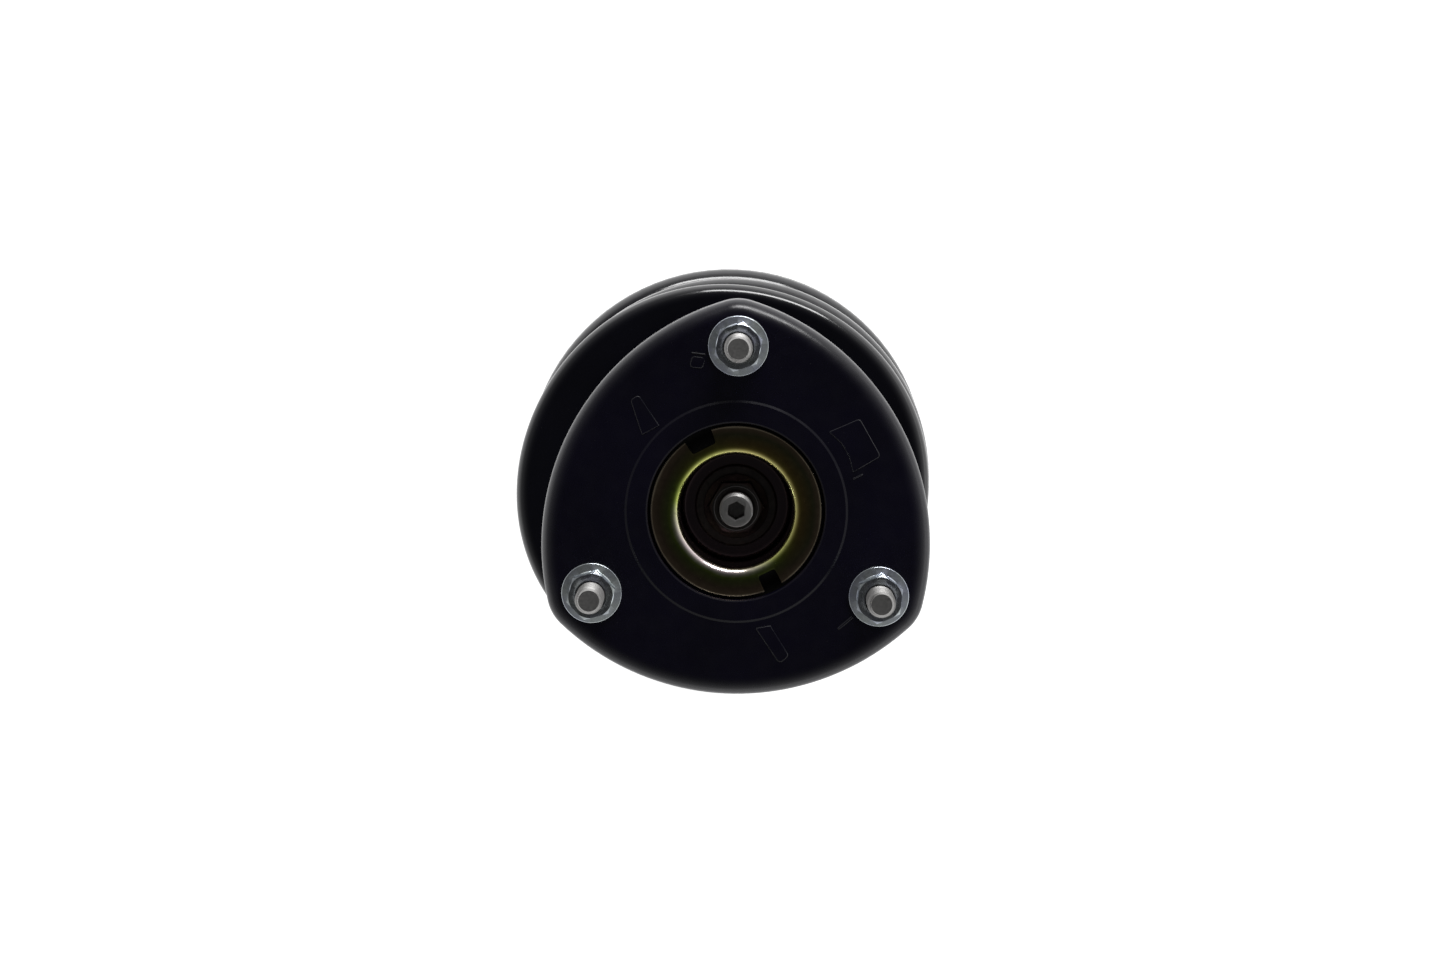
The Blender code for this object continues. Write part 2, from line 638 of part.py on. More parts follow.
def build_rod(parent):
    """Piston rod: threaded top with a hexagon socket, polished shank, threaded lower end."""
    tip = SPIGOT_RADIUS - ROD_TIP_CHAMFER
    rings = [
        hexagon_ring(SOCKET_ACROSS_FLATS, ROD_TOP - SOCKET_DEPTH, COARSE),
        hexagon_ring(SOCKET_ACROSS_FLATS, ROD_TOP, COARSE),
        circle_ring(tip, ROD_TOP, COARSE),
        circle_ring(SPIGOT_RADIUS, ROD_TOP - ROD_TIP_CHAMFER, COARSE),
        circle_ring(SPIGOT_RADIUS, ROD_SHOULDER, COARSE),
        circle_ring(ROD_RADIUS, ROD_SHOULDER, COARSE),
        circle_ring(ROD_RADIUS, ROD_LOWER_SHOULDER, COARSE),
        circle_ring(SPIGOT_RADIUS, ROD_LOWER_SHOULDER, COARSE),
        circle_ring(SPIGOT_RADIUS, ROD_BOTTOM, COARSE),
    ]
    add_piece("piston_rod", loft(rings, False), "chrome", parent)
    bore = SPIGOT_RADIUS + GAP
    add_piece("rod_washer", tube(
        bore, WASHER_RADIUS, WASHER_BOTTOM, WASHER_BOTTOM + WASHER_THICKNESS, MEDIUM,
    ), "steel", parent)
    top = ROD_NUT_BOTTOM + ROD_NUT_HEIGHT
    add_piece("rod_nut", flanged_nut(
        bore, ROD_NUT_ACROSS_FLATS, ROD_NUT_FLANGE_RADIUS,
        ROD_NUT_BOTTOM, ROD_NUT_BOTTOM + ROD_NUT_FLANGE_HEIGHT / 2, ROD_NUT_BOTTOM + ROD_NUT_FLANGE_HEIGHT,
        [
            (ROD_NUT_ACROSS_FLATS / 2, top - ROD_NUT_COLLAR_HEIGHT),
            (ROD_NUT_COLLAR_RADIUS, top - ROD_NUT_COLLAR_HEIGHT),
            (ROD_NUT_COLLAR_RADIUS, top),
        ],
    ), "steel", parent)


def build_bump_stop(parent):
    """Foam stop with two waists, hung from a steel cup under the hub."""
    bore = ROD_RADIUS + GAP
    profile = rounded([
        (bore, STOP_CUP_TOP),
        (STOP_CUP_RADIUS, STOP_CUP_TOP, STOP_CUP_WALL),
        (STOP_CUP_RADIUS, STOP_CUP_TOP - STOP_CUP_DEPTH),
        (STOP_CUP_RADIUS - STOP_CUP_WALL, STOP_CUP_TOP - STOP_CUP_DEPTH),
        (STOP_CUP_RADIUS - STOP_CUP_WALL, STOP_CUP_TOP - STOP_CUP_FLOOR),
        (bore, STOP_CUP_TOP - STOP_CUP_FLOOR),
    ])
    add_piece("bump_stop_cup", turned(profile, MEDIUM), "steel", parent)
    outer = STOP_CUP_RADIUS - STOP_CUP_WALL - GAP
    bulges = []
    for index in range(BUMP_STOP_STATIONS + 1):
        down = index / BUMP_STOP_STATIONS
        waist = BUMP_STOP_WAIST_DEPTH if index in BUMP_STOP_WAISTS else BUMP_STOP_TAPER * down
        bulges.append((outer - waist, BUMP_STOP_TOP - BUMP_STOP_LENGTH * down))
    profile = [(bore + GAP, BUMP_STOP_TOP), *bulges, (bore + GAP, BUMP_STOP_BOTTOM)]
    add_piece("bump_stop", turned(profile, COARSE), "foam", parent)


def race_profile(side):
    """Section of a race above (side 1) or below (side -1) the balls."""
    groove = BALL_RADIUS + GAP
    half = math.acos(RACE_FACE / groove)
    inner, outer = BALL_CIRCLE_RADIUS - RACE_HALF_WIDTH, BALL_CIRCLE_RADIUS + RACE_HALF_WIDTH
    face, back = side * RACE_FACE, side * (groove + RACE_WEB)
    start, end = math.radians(90) - half, math.radians(90) + half
    points = arc((BALL_CIRCLE_RADIUS, 0), groove, start, end, GROOVE_STEPS)
    bottom = [(point.x, side * point.y) for point in points]
    section = [(inner, back), (outer, back), (outer, face), *bottom, (inner, face)]
    return [(radius, BALL_PLANE + z) for radius, z in section]


def build_bearing(top_mount, swivel, cage_turn):
    """Ball bearing that lets the spring and its seat turn under the mount."""
    add_piece("bearing_upper_race", turned(race_profile(1), FINE), "steel", top_mount)
    add_piece("bearing_lower_race", turned(race_profile(-1), FINE), "steel", swivel)
    add_piece("bearing_seal", tube(
        BALL_CIRCLE_RADIUS + RACE_HALF_WIDTH + GAP,
        BALL_CIRCLE_RADIUS + RACE_HALF_WIDTH + GAP + SEAL_THICKNESS,
        BEARING_BOTTOM, BALL_PLANE + SEAL_RISE, FINE,
    ), "black_rubber", swivel)
    cage = add_piece("bearing_cage", tube(
        BALL_CIRCLE_RADIUS - CAGE_HALF_WIDTH, BALL_CIRCLE_RADIUS + CAGE_HALF_WIDTH,
        BALL_PLANE - CAGE_HALF_HEIGHT, BALL_PLANE + CAGE_HALF_HEIGHT, MEDIUM,
    ), "plastic", cage_turn)
    angles = [math.tau * (index + 0.5) / BALL_COUNT for index in range(BALL_COUNT)]
    places = [(*polar(BALL_CIRCLE_RADIUS, angle), BALL_PLANE) for angle in angles]
    pockets = bmesh.new()
    for place in places:
        bmesh.ops.create_cone(
            pockets, cap_ends=True, segments=POCKET_SIDES, radius1=BALL_RADIUS + 2 * GAP,
            radius2=BALL_RADIUS + 2 * GAP, depth=4 * CAGE_HALF_HEIGHT,
            matrix=Matrix.Translation(place),
        )
    combine(cage, "ball_pockets", pockets)
    ball_shape = bmesh.new()
    bmesh.ops.create_icosphere(ball_shape, subdivisions=2, radius=BALL_RADIUS)
    ball = mesh_from("bearing_ball", ball_shape, "chrome")
    for number, place in enumerate(places, 1):
        add_mesh(f"bearing_ball_{number:02d}", ball, cage_turn, place)


def move_to_rim(bm, start, end):
    """Gives a round shape the waves of the seat's rim, from none at start to all at end."""
    for vert in bm.verts:
        radius = vert.co.xy.length
        angle = math.atan2(vert.co.y, vert.co.x)
        share = min(max((radius - start) / (end - start), 0.0), 1.0)
        for count, height, phase in SEAT_WAVES:
            vert.co.xy += polar(height * share * math.cos(count * angle - math.radians(phase)), angle)


def build_upper_seat(parent):
    """Stamped seat: pan under the bearing, collar for the boot, flange with a rolled rim."""
    thick = SEAT_THICKNESS
    step_radius = SEAT_PAN_RADIUS + thick
    collar_bottom = SEAT_PAN_TOP - SEAT_COLLAR_DEPTH
    rim_bottom = SEAT_FLANGE_TOP - SEAT_RIM_DEPTH
    profile = rounded([
        (SEAT_HOLE_RADIUS, SEAT_PAN_TOP, thick / 2),
        (SEAT_PAN_RADIUS, SEAT_PAN_TOP, thick),
        (step_radius, SEAT_FLANGE_TOP, thick),
        (SEAT_RADIUS, SEAT_FLANGE_TOP, SEAT_ROLL_RADIUS),
        (SEAT_RADIUS, rim_bottom),
        (SEAT_INNER_RADIUS, rim_bottom),
        (SEAT_INNER_RADIUS, SEAT_INSIDE, SEAT_ROLL_RADIUS - thick),
        (step_radius - thick, SEAT_INSIDE),
        (SEAT_PAN_RADIUS - thick, SEAT_PAN_TOP - thick),
        (SEAT_HOLE_RADIUS + thick, SEAT_PAN_TOP - thick),
        (SEAT_HOLE_RADIUS + thick, collar_bottom),
        (SEAT_HOLE_RADIUS, collar_bottom),
    ])
    seat = turned(profile, RIM)
    move_to_rim(seat, SEAT_SHIFT_START, SEAT_SHIFT_END)
    add_piece("upper_spring_seat", seat, "black_coat", parent)
    inner = SPRING_TOP_RADIUS - SPRING_WIRE_RADIUS - INSULATOR_MARGIN
    outer = SEAT_INNER_RADIUS - (SEAT_ROLL_RADIUS - thick)
    insulator = tube(inner, outer, INSULATOR_TOP - INSULATOR_THICKNESS, INSULATOR_TOP, RIM)
    move_to_rim(insulator, 0.0, inner)
    add_piece("upper_insulator", insulator, "black_rubber", parent)


def ease(share):
    """Smooth step from 0 to 1."""
    share = min(max(share, 0.0), 1.0)
    return share * share * (3 - 2 * share)


def spring_point(turns):
    """Centre of the wire this many turns below the spring's top end."""
    top = SPRING_TOP - SPRING_WIRE_RADIUS
    bottom = SPRING_BOTTOM + SPRING_WIRE_RADIUS
    dead_pitch = 2 * SPRING_WIRE_RADIUS + GAP
    dead = dead_pitch * SPRING_DEAD_TURNS
    active = SPRING_TURNS - 2 * SPRING_DEAD_TURNS
    from_end = SPRING_TURNS - turns
    if turns < SPRING_DEAD_TURNS:
        z = top - dead_pitch * turns
    elif from_end < SPRING_DEAD_TURNS:
        z = bottom + dead_pitch * from_end
    else:
        z = top - dead - (top - bottom - 2 * dead) * (turns - SPRING_DEAD_TURNS) / active
    radius = SPRING_RADIUS
    radius -= (SPRING_RADIUS - SPRING_TOP_RADIUS) * (1 - ease(turns / SPRING_TAPER_TURNS))
    radius -= (SPRING_RADIUS - SPRING_BOTTOM_RADIUS) * (1 - ease(from_end / SPRING_TAPER_TURNS))
    centre = SPRING_BOTTOM_OFFSET.lerp(SPRING_TOP_OFFSET, (z - bottom) / (top - bottom))
    across = centre + polar(radius, math.radians(SPRING_START_DEG) - math.tau * turns)
    return Vector((*across, z))


def build_spring(parent):
    """Coil spring, right-hand wound, with smaller end coils."""
    rings = []
    steps = round(SPRING_TURNS * STEPS_PER_TURN)
    delta = 1e-4
    for step in range(steps + 1):
        turns = SPRING_TURNS * step / steps
        centre = spring_point(turns)
        along = (spring_point(turns + delta) - spring_point(turns - delta)).normalized()
        side = along.cross(Vector((0, 0, 1))).normalized()
        up = side.cross(along)
        ring = []
        for index in range(WIRE_SIDES):
            offset = polar(SPRING_WIRE_RADIUS, math.tau * index / WIRE_SIDES)
            ring.append(centre + side * offset.x + up * offset.y)
        rings.append(ring)
    add_piece("coil_spring", loft(rings, False), "black_coat", parent)


def build_boot(parent):
    """Pleated dust boot from the seat's collar down over the gland cap."""
    top = SEAT_PAN_TOP - SEAT_THICKNESS - GAP
    bottom = GLAND_TOP - BOOT_CUFF
    pleats_top, pleats_bottom = top - BOOT_CUFF, bottom + BOOT_CUFF
    pitch = (pleats_top - pleats_bottom) / BOOT_PLEATS
    inside = [(BOOT_BORE, top)]
    for index in range(BOOT_PLEATS):
        inside.append((BOOT_BORE, pleats_top - pitch * index))
        inside.append((BOOT_BORE + BOOT_PLEAT_DEPTH, pleats_top - pitch * (index + 0.5)))
    inside += [(BOOT_BORE, pleats_bottom), (BOOT_BORE, bottom)]
    outside = [(radius + BOOT_WALL, z) for radius, z in inside]
    add_piece("dust_boot", turned(inside + outside[::-1], COARSE), "black_rubber", parent)


def build_tubes(parent):
    """Outer tube and inner cylinder."""
    add_piece("outer_tube", tube(
        TUBE_INNER_RADIUS, TUBE_RADIUS, TUBE_BOTTOM, TUBE_TOP, MEDIUM,
    ), "black_coat", parent)
    add_piece("inner_cylinder", tube(
        CYLINDER_RADIUS, CYLINDER_OUTER_RADIUS,
        BASE_VALVE_TOP - BASE_VALVE_SPIGOT + GAP, GUIDE_SHOULDER - GAP, MEDIUM,
    ), "steel", parent)


def build_gland(parent):
    """Cap, seal, guide and bush that close the tube round the rod."""
    hole = ROD_RADIUS + GLAND_HOLE_CLEARANCE
    profile = rounded([
        (hole, GLAND_TOP),
        (GLAND_RADIUS, GLAND_TOP, GLAND_WALL),
        (GLAND_RADIUS, GLAND_TOP - GLAND_SKIRT),
        (TUBE_RADIUS + GAP, GLAND_TOP - GLAND_SKIRT),
        (TUBE_RADIUS + GAP, GLAND_TOP - GLAND_WALL),
        (hole, GLAND_TOP - GLAND_WALL),
    ])
    add_piece("gland_cap", turned(profile, MEDIUM), "steel", parent)
    bore, outer = ROD_RADIUS + GAP, TUBE_INNER_RADIUS - GAP
    add_piece("rod_seal", tube(
        bore, outer, ROD_SEAL_TOP - ROD_SEAL_HEIGHT, ROD_SEAL_TOP, MEDIUM,
    ), "black_rubber", parent)
    bush_radius = bore + BUSH_WALL
    add_piece("rod_guide", turned([
        (bush_radius + GAP, GUIDE_TOP),
        (outer, GUIDE_TOP),
        (outer, GUIDE_SHOULDER),
        (CYLINDER_RADIUS - GAP, GUIDE_SHOULDER),
        (CYLINDER_RADIUS - GAP, GUIDE_BOTTOM),
        (bush_radius + GAP, GUIDE_BOTTOM),
    ], MEDIUM), "steel", parent)
    add_piece("guide_bush", tube(
        bore, bush_radius, GUIDE_BOTTOM + BUSH_RECESS, GUIDE_TOP - BUSH_RECESS, MEDIUM,
    ), "bronze", parent)


def build_piston(parent):
    """Rebound stop, valve disc, banded piston and nut on the rod's lower end."""
    add_piece("rebound_stop", tube(
        ROD_RADIUS + GAP, CYLINDER_RADIUS - REBOUND_STOP_CLEARANCE,
        REBOUND_STOP_TOP - REBOUND_STOP_HEIGHT, REBOUND_STOP_TOP, COARSE,
    ), "plastic", parent)
    bore = SPIGOT_RADIUS + GAP
    add_piece("piston_valve_disc", tube(
        bore, VALVE_DISC_RADIUS, VALVE_DISC_TOP - VALVE_DISC_THICKNESS, VALVE_DISC_TOP, COARSE,
    ), "steel", parent)
    outer = CYLINDER_RADIUS - PISTON_CLEARANCE
    band_inner = CYLINDER_RADIUS - GAP - PISTON_BAND_THICKNESS
    groove_top = (PISTON_TOP + PISTON_BOTTOM + PISTON_BAND_HEIGHT) / 2 + GAP
    groove_bottom = groove_top - PISTON_BAND_HEIGHT - 2 * GAP
    add_piece("piston", turned([
        (bore, PISTON_TOP), (outer, PISTON_TOP),
        (outer, groove_top), (band_inner - GAP, groove_top),
        (band_inner - GAP, groove_bottom), (outer, groove_bottom),
        (outer, PISTON_BOTTOM), (bore, PISTON_BOTTOM),
    ], MEDIUM), "steel", parent)
    add_piece("piston_band", tube(
        band_inner, CYLINDER_RADIUS - GAP, groove_bottom + GAP, groove_top - GAP, MEDIUM,
    ), "plastic", parent)
    nut_bottom = PISTON_NUT_TOP - PISTON_NUT_HEIGHT
    rings = [
        circle_ring(bore, nut_bottom, COARSE),
        hexagon_ring(PISTON_NUT_ACROSS_FLATS, nut_bottom, COARSE),
        hexagon_ring(PISTON_NUT_ACROSS_FLATS, PISTON_NUT_TOP, COARSE),
        circle_ring(bore, PISTON_NUT_TOP, COARSE),
    ]
    add_piece("piston_nut", loft(rings, True), "steel", parent)


def build_foot(parent):
    """Base valve under the inner cylinder and the cap that closes the tube."""
    spigot_bottom = BASE_VALVE_TOP - BASE_VALVE_SPIGOT
    add_piece("base_valve", turned([
        (BASE_VALVE_HOLE_RADIUS, BASE_VALVE_TOP),
        (CYLINDER_RADIUS - GAP, BASE_VALVE_TOP),
        (CYLINDER_RADIUS - GAP, spigot_bottom),
        (TUBE_INNER_RADIUS - GAP, spigot_bottom),
        (TUBE_INNER_RADIUS - GAP, BASE_VALVE_BOTTOM),
        (BASE_VALVE_HOLE_RADIUS, BASE_VALVE_BOTTOM),
    ], MEDIUM), "steel", parent)
    radius = TUBE_INNER_RADIUS - GAP
    top = BOTTOM_CAP_BOTTOM + BOTTOM_CAP_THICKNESS
    add_piece("bottom_cap", turned([
        (0, BOTTOM_CAP_BOTTOM), (radius, BOTTOM_CAP_BOTTOM), (radius, top), (0, top),
    ], MEDIUM), "black_coat", parent)


def build_lower_seat(parent):
    """Lower spring seat with its collar on the tube, and the insulator in it."""
    thick = LOWER_SEAT_THICKNESS
    bore = TUBE_RADIUS + GAP
    profile = rounded([
        (bore, LOWER_SEAT_TOP, thick / 2),
        (LOWER_SEAT_RADIUS - thick, LOWER_SEAT_TOP, thick),
        (LOWER_SEAT_RADIUS - thick, LOWER_SEAT_TOP + LOWER_SEAT_RIM),
        (LOWER_SEAT_RADIUS, LOWER_SEAT_TOP + LOWER_SEAT_RIM),
        (LOWER_SEAT_RADIUS, LOWER_SEAT_TOP - thick, 2 * thick),
        (bore + thick, LOWER_SEAT_TOP - thick, thick),
        (bore + thick, LOWER_SEAT_BOTTOM),
        (bore, LOWER_SEAT_BOTTOM),
    ])
    add_piece("lower_spring_seat", turned(profile, RIM), "black_coat", parent)
    inner = SPRING_BOTTOM_RADIUS - SPRING_WIRE_RADIUS - INSULATOR_MARGIN
    outer = LOWER_SEAT_RADIUS - 2 * thick
    add_piece("lower_insulator", tube(
        inner, outer, LOWER_INSULATOR_TOP - LOWER_INSULATOR_THICKNESS, LOWER_INSULATOR_TOP, RIM,
    ), "black_rubber", parent)


def build_knuckle_bracket(parent):
    """Sheet wrapped round the tube, its two ears reaching out along -Y to the knuckle."""
    inner, outer = TUBE_RADIUS + GAP, TUBE_RADIUS + GAP + EAR_THICKNESS
    inside, outside = EAR_GAP / 2, EAR_GAP / 2 + EAR_THICKNESS
    inner_start = -math.acos(inside / inner)
    outer_start = -math.acos(outside / outer)
    outline = [
        Vector((inside, -EAR_REACH)),
        *arc((0, 0), inner, inner_start, math.pi - inner_start, MEDIUM),
        Vector((-inside, -EAR_REACH)),
        Vector((-outside, -EAR_REACH)),
        *arc((0, 0), outer, math.pi - outer_start, outer_start, MEDIUM),
        Vector((outside, -EAR_REACH)),
    ]
    bracket = add_piece(
        "knuckle_bracket", prism(outline, KNUCKLE_BOTTOM, KNUCKLE_TOP), "black_coat", parent,
    )
    past = 2 * outer
    side = prism(rounded([
        (-EAR_REACH - GAP, KNUCKLE_BOTTOM - GAP, KNUCKLE_CORNER_RADIUS),
        (past, KNUCKLE_BOTTOM - GAP),
        (past, KNUCKLE_TOP + GAP),
        (-EAR_REACH - GAP, KNUCKLE_TOP + GAP, KNUCKLE_CORNER_RADIUS),
    ]), -past, past)
    turn = Matrix(((0, 0, 1), (1, 0, 0), (0, 1, 0)))
    bmesh.ops.rotate(side, verts=side.verts, cent=(0, 0, 0), matrix=turn)
    combine(bracket, "ear_outline", side, "INTERSECT")
    middle = (KNUCKLE_TOP + KNUCKLE_BOTTOM) / 2
    places = [(0, -KNUCKLE_BOLT_REACH, middle + sign * KNUCKLE_BOLT_SPACING / 2) for sign in (-1, 1)]
    combine(bracket, "bolt_holes", drills(places, KNUCKLE_BOLT_RADIUS, 4 * outer, "X"))


def build_hose_bracket(parent):
    """Flat tab on the tube with a round hole for the brake hose's grommet."""
    start = TUBE_RADIUS + GAP
    half = HOSE_BRACKET_WIDTH / 2
    root = math.asin(half / start)
    middle = HOSE_BRACKET_REACH - half
    outline = arc((0, 0), start, root, -root, BRACKET_ARC_STEPS) + arc(
        (middle, 0), half, math.radians(-90), math.radians(90), BRACKET_ARC_STEPS,
    )
    bottom = BRACKET_MIDDLE - HOSE_BRACKET_THICKNESS / 2
    bracket = add_piece(
        "hose_bracket", prism(outline, bottom, bottom + HOSE_BRACKET_THICKNESS),
        "black_coat", parent, turn=HOSE_BRACKET_ANGLE,
    )
    place = (middle, 0, BRACKET_MIDDLE)
    combine(bracket, "hose_hole", drills([place], HOSE_HOLE_RADIUS, 4 * HOSE_BRACKET_THICKNESS))


def build_link_bracket(parent):
    """Upright plate on the tube with a round eye for the stabiliser link."""
    root = TUBE_RADIUS + GAP
    half = LINK_BRACKET_HEIGHT / 2
    profile = [Vector((root, half)), Vector((root, -half))]
    profile += arc(
        (LINK_BRACKET_REACH, 0), LINK_END_RADIUS, -LINK_END_HALF_ARC, LINK_END_HALF_ARC, BRACKET_ARC_STEPS,
    )
    plate = prism(profile, -LINK_BRACKET_THICKNESS / 2, LINK_BRACKET_THICKNESS / 2)
    bmesh.ops.rotate(
        plate, verts=plate.verts, cent=(0, 0, 0), matrix=Matrix.Rotation(math.radians(90), 3, "X"),
    )
    bracket = add_piece(
        "stabiliser_link_bracket", plate, "black_coat", parent,
        (0, 0, BRACKET_MIDDLE), LINK_BRACKET_ANGLE,
    )
    hole = drills([(0, 0, 0)], LINK_HOLE_RADIUS, 4 * LINK_BRACKET_THICKNESS)
    bmesh.ops.rotate(
        hole, verts=hole.verts, cent=(0, 0, 0), matrix=Matrix.Rotation(math.radians(90), 3, "X"),
    )
    bmesh.ops.translate(hole, verts=hole.verts, vec=(LINK_BRACKET_REACH, 0, 0))
    combine(bracket, "link_hole", hole)


def main():
    """Clear the scene and build every piece under the empty of its body."""
    for existing in list(bpy.data.objects):
        bpy.data.objects.remove(existing, do_unlink=True)
    top_mount = add_empty("top_mount")
    cage_turn = add_empty("cage_turn")
    swivel = add_empty("swivel")
    strut_body = add_empty("strut_body")
    build_mount_plate(top_mount)
    build_studs_and_nuts(top_mount)
    build_shell(top_mount)
    build_rubber_and_hub(top_mount)
    build_cup(top_mount)
    build_rod(top_mount)
    build_bump_stop(top_mount)
    build_piston(top_mount)
    build_bearing(top_mount, swivel, cage_turn)
    build_upper_seat(swivel)
    build_spring(swivel)
    build_boot(swivel)
    build_tubes(strut_body)
    build_gland(strut_body)
    build_foot(strut_body)
    build_lower_seat(strut_body)
    build_knuckle_bracket(strut_body)
    build_hose_bracket(strut_body)
    build_link_bracket(strut_body)


main()
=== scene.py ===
"""Looks of a coil-spring suspension strut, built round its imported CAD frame.

Metres, +Z up along the strut's axis. The mount plate's top face is at Z 0 and the knuckle
bracket opens towards -Y. Every visible node of the frame is replaced by a finer piece of the
same size; the nodes sealed inside keep their solids and get a finish.
"""

import json
import logging
import math
from collections.abc import Callable, Iterable, Sequence
from dataclasses import dataclass, field
from enum import Enum
from typing import ClassVar

import bmesh
import bpy
from mathutils import Matrix, Vector


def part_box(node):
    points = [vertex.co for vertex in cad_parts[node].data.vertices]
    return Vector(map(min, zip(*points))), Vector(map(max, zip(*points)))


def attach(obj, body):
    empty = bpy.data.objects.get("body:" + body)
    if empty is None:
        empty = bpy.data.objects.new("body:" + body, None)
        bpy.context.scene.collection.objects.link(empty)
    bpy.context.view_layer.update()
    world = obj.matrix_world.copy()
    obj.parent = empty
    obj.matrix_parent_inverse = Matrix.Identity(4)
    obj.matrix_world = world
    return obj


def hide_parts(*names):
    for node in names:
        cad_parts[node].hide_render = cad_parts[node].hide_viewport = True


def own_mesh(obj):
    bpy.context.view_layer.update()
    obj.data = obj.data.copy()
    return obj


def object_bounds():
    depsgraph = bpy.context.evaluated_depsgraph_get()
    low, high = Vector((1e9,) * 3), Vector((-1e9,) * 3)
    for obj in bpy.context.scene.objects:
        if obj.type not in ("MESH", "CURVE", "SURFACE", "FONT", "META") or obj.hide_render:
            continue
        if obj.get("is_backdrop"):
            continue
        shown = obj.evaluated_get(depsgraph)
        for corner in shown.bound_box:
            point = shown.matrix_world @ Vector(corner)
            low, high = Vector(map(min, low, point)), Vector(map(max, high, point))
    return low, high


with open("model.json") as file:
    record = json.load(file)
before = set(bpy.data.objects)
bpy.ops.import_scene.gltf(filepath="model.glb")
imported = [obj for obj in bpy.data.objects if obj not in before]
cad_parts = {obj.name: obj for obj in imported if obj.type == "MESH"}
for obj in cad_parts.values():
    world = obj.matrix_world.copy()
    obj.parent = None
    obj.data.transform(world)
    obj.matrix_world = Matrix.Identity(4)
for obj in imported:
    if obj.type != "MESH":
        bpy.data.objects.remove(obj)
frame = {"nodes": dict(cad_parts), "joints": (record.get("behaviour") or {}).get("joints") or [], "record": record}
CAD_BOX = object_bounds()

log = logging.getLogger("strut")

CLEARANCE = 0.0003
ARC_STEP = math.radians(9)
WELD_DISTANCE = 1e-6

# Steps round a turned shape
FINE = 192
MEDIUM = 128
COARSE = 72

# Roundings of edges and bends
HAIRLINE = 0.0003
THIN_EDGE = 0.0004
EDGE = 0.0006
SOFT_EDGE = 0.0008
PLAIN_EDGE = 0.001
FULL_EDGE = 0.0012
SMALL_BEND = 0.0015
MIDDLE_BEND = 0.0025
BEND = 0.003
WIDE_BEND = 0.004

# How far a cutter reaches past what it cuts, and a joined shape into what it joins
PAST = 0.01
SUNK = 0.001

Shape = bmesh.types.BMesh
Socket = bpy.types.NodeSocket
Value = Socket | float | tuple[float, ...]
Colour = tuple[float, float, float]
EdgeTest = Callable[[bmesh.types.BMEdge], bool]


class Body(Enum):
    """Rigid bodies of the frame."""

    TOP_MOUNT = "top_mount"
    BALL_CAGE = "ball_cage"
    SWIVEL = "swivel"
    STRUT = "strut_body"


class Slot(Enum):
    """Material slots of the record."""

    BLACK_COAT = "black_coat"
    BRIGHT_ZINC = "bright_zinc"
    STEEL = "steel"
    YELLOW_ZINC = "yellow_zinc"
    BLACK_RUBBER = "black_rubber"
    FOAM = "foam"
    PLASTIC = "plastic"
    CHROME = "chrome"
    BRONZE = "bronze"


class Cut(Enum):
    """Ways to combine two closed shapes."""

    JOIN = "UNION"
    REMOVE = "DIFFERENCE"
    KEEP_COMMON = "INTERSECT"


# ---------------------------------------------------------------- finishes


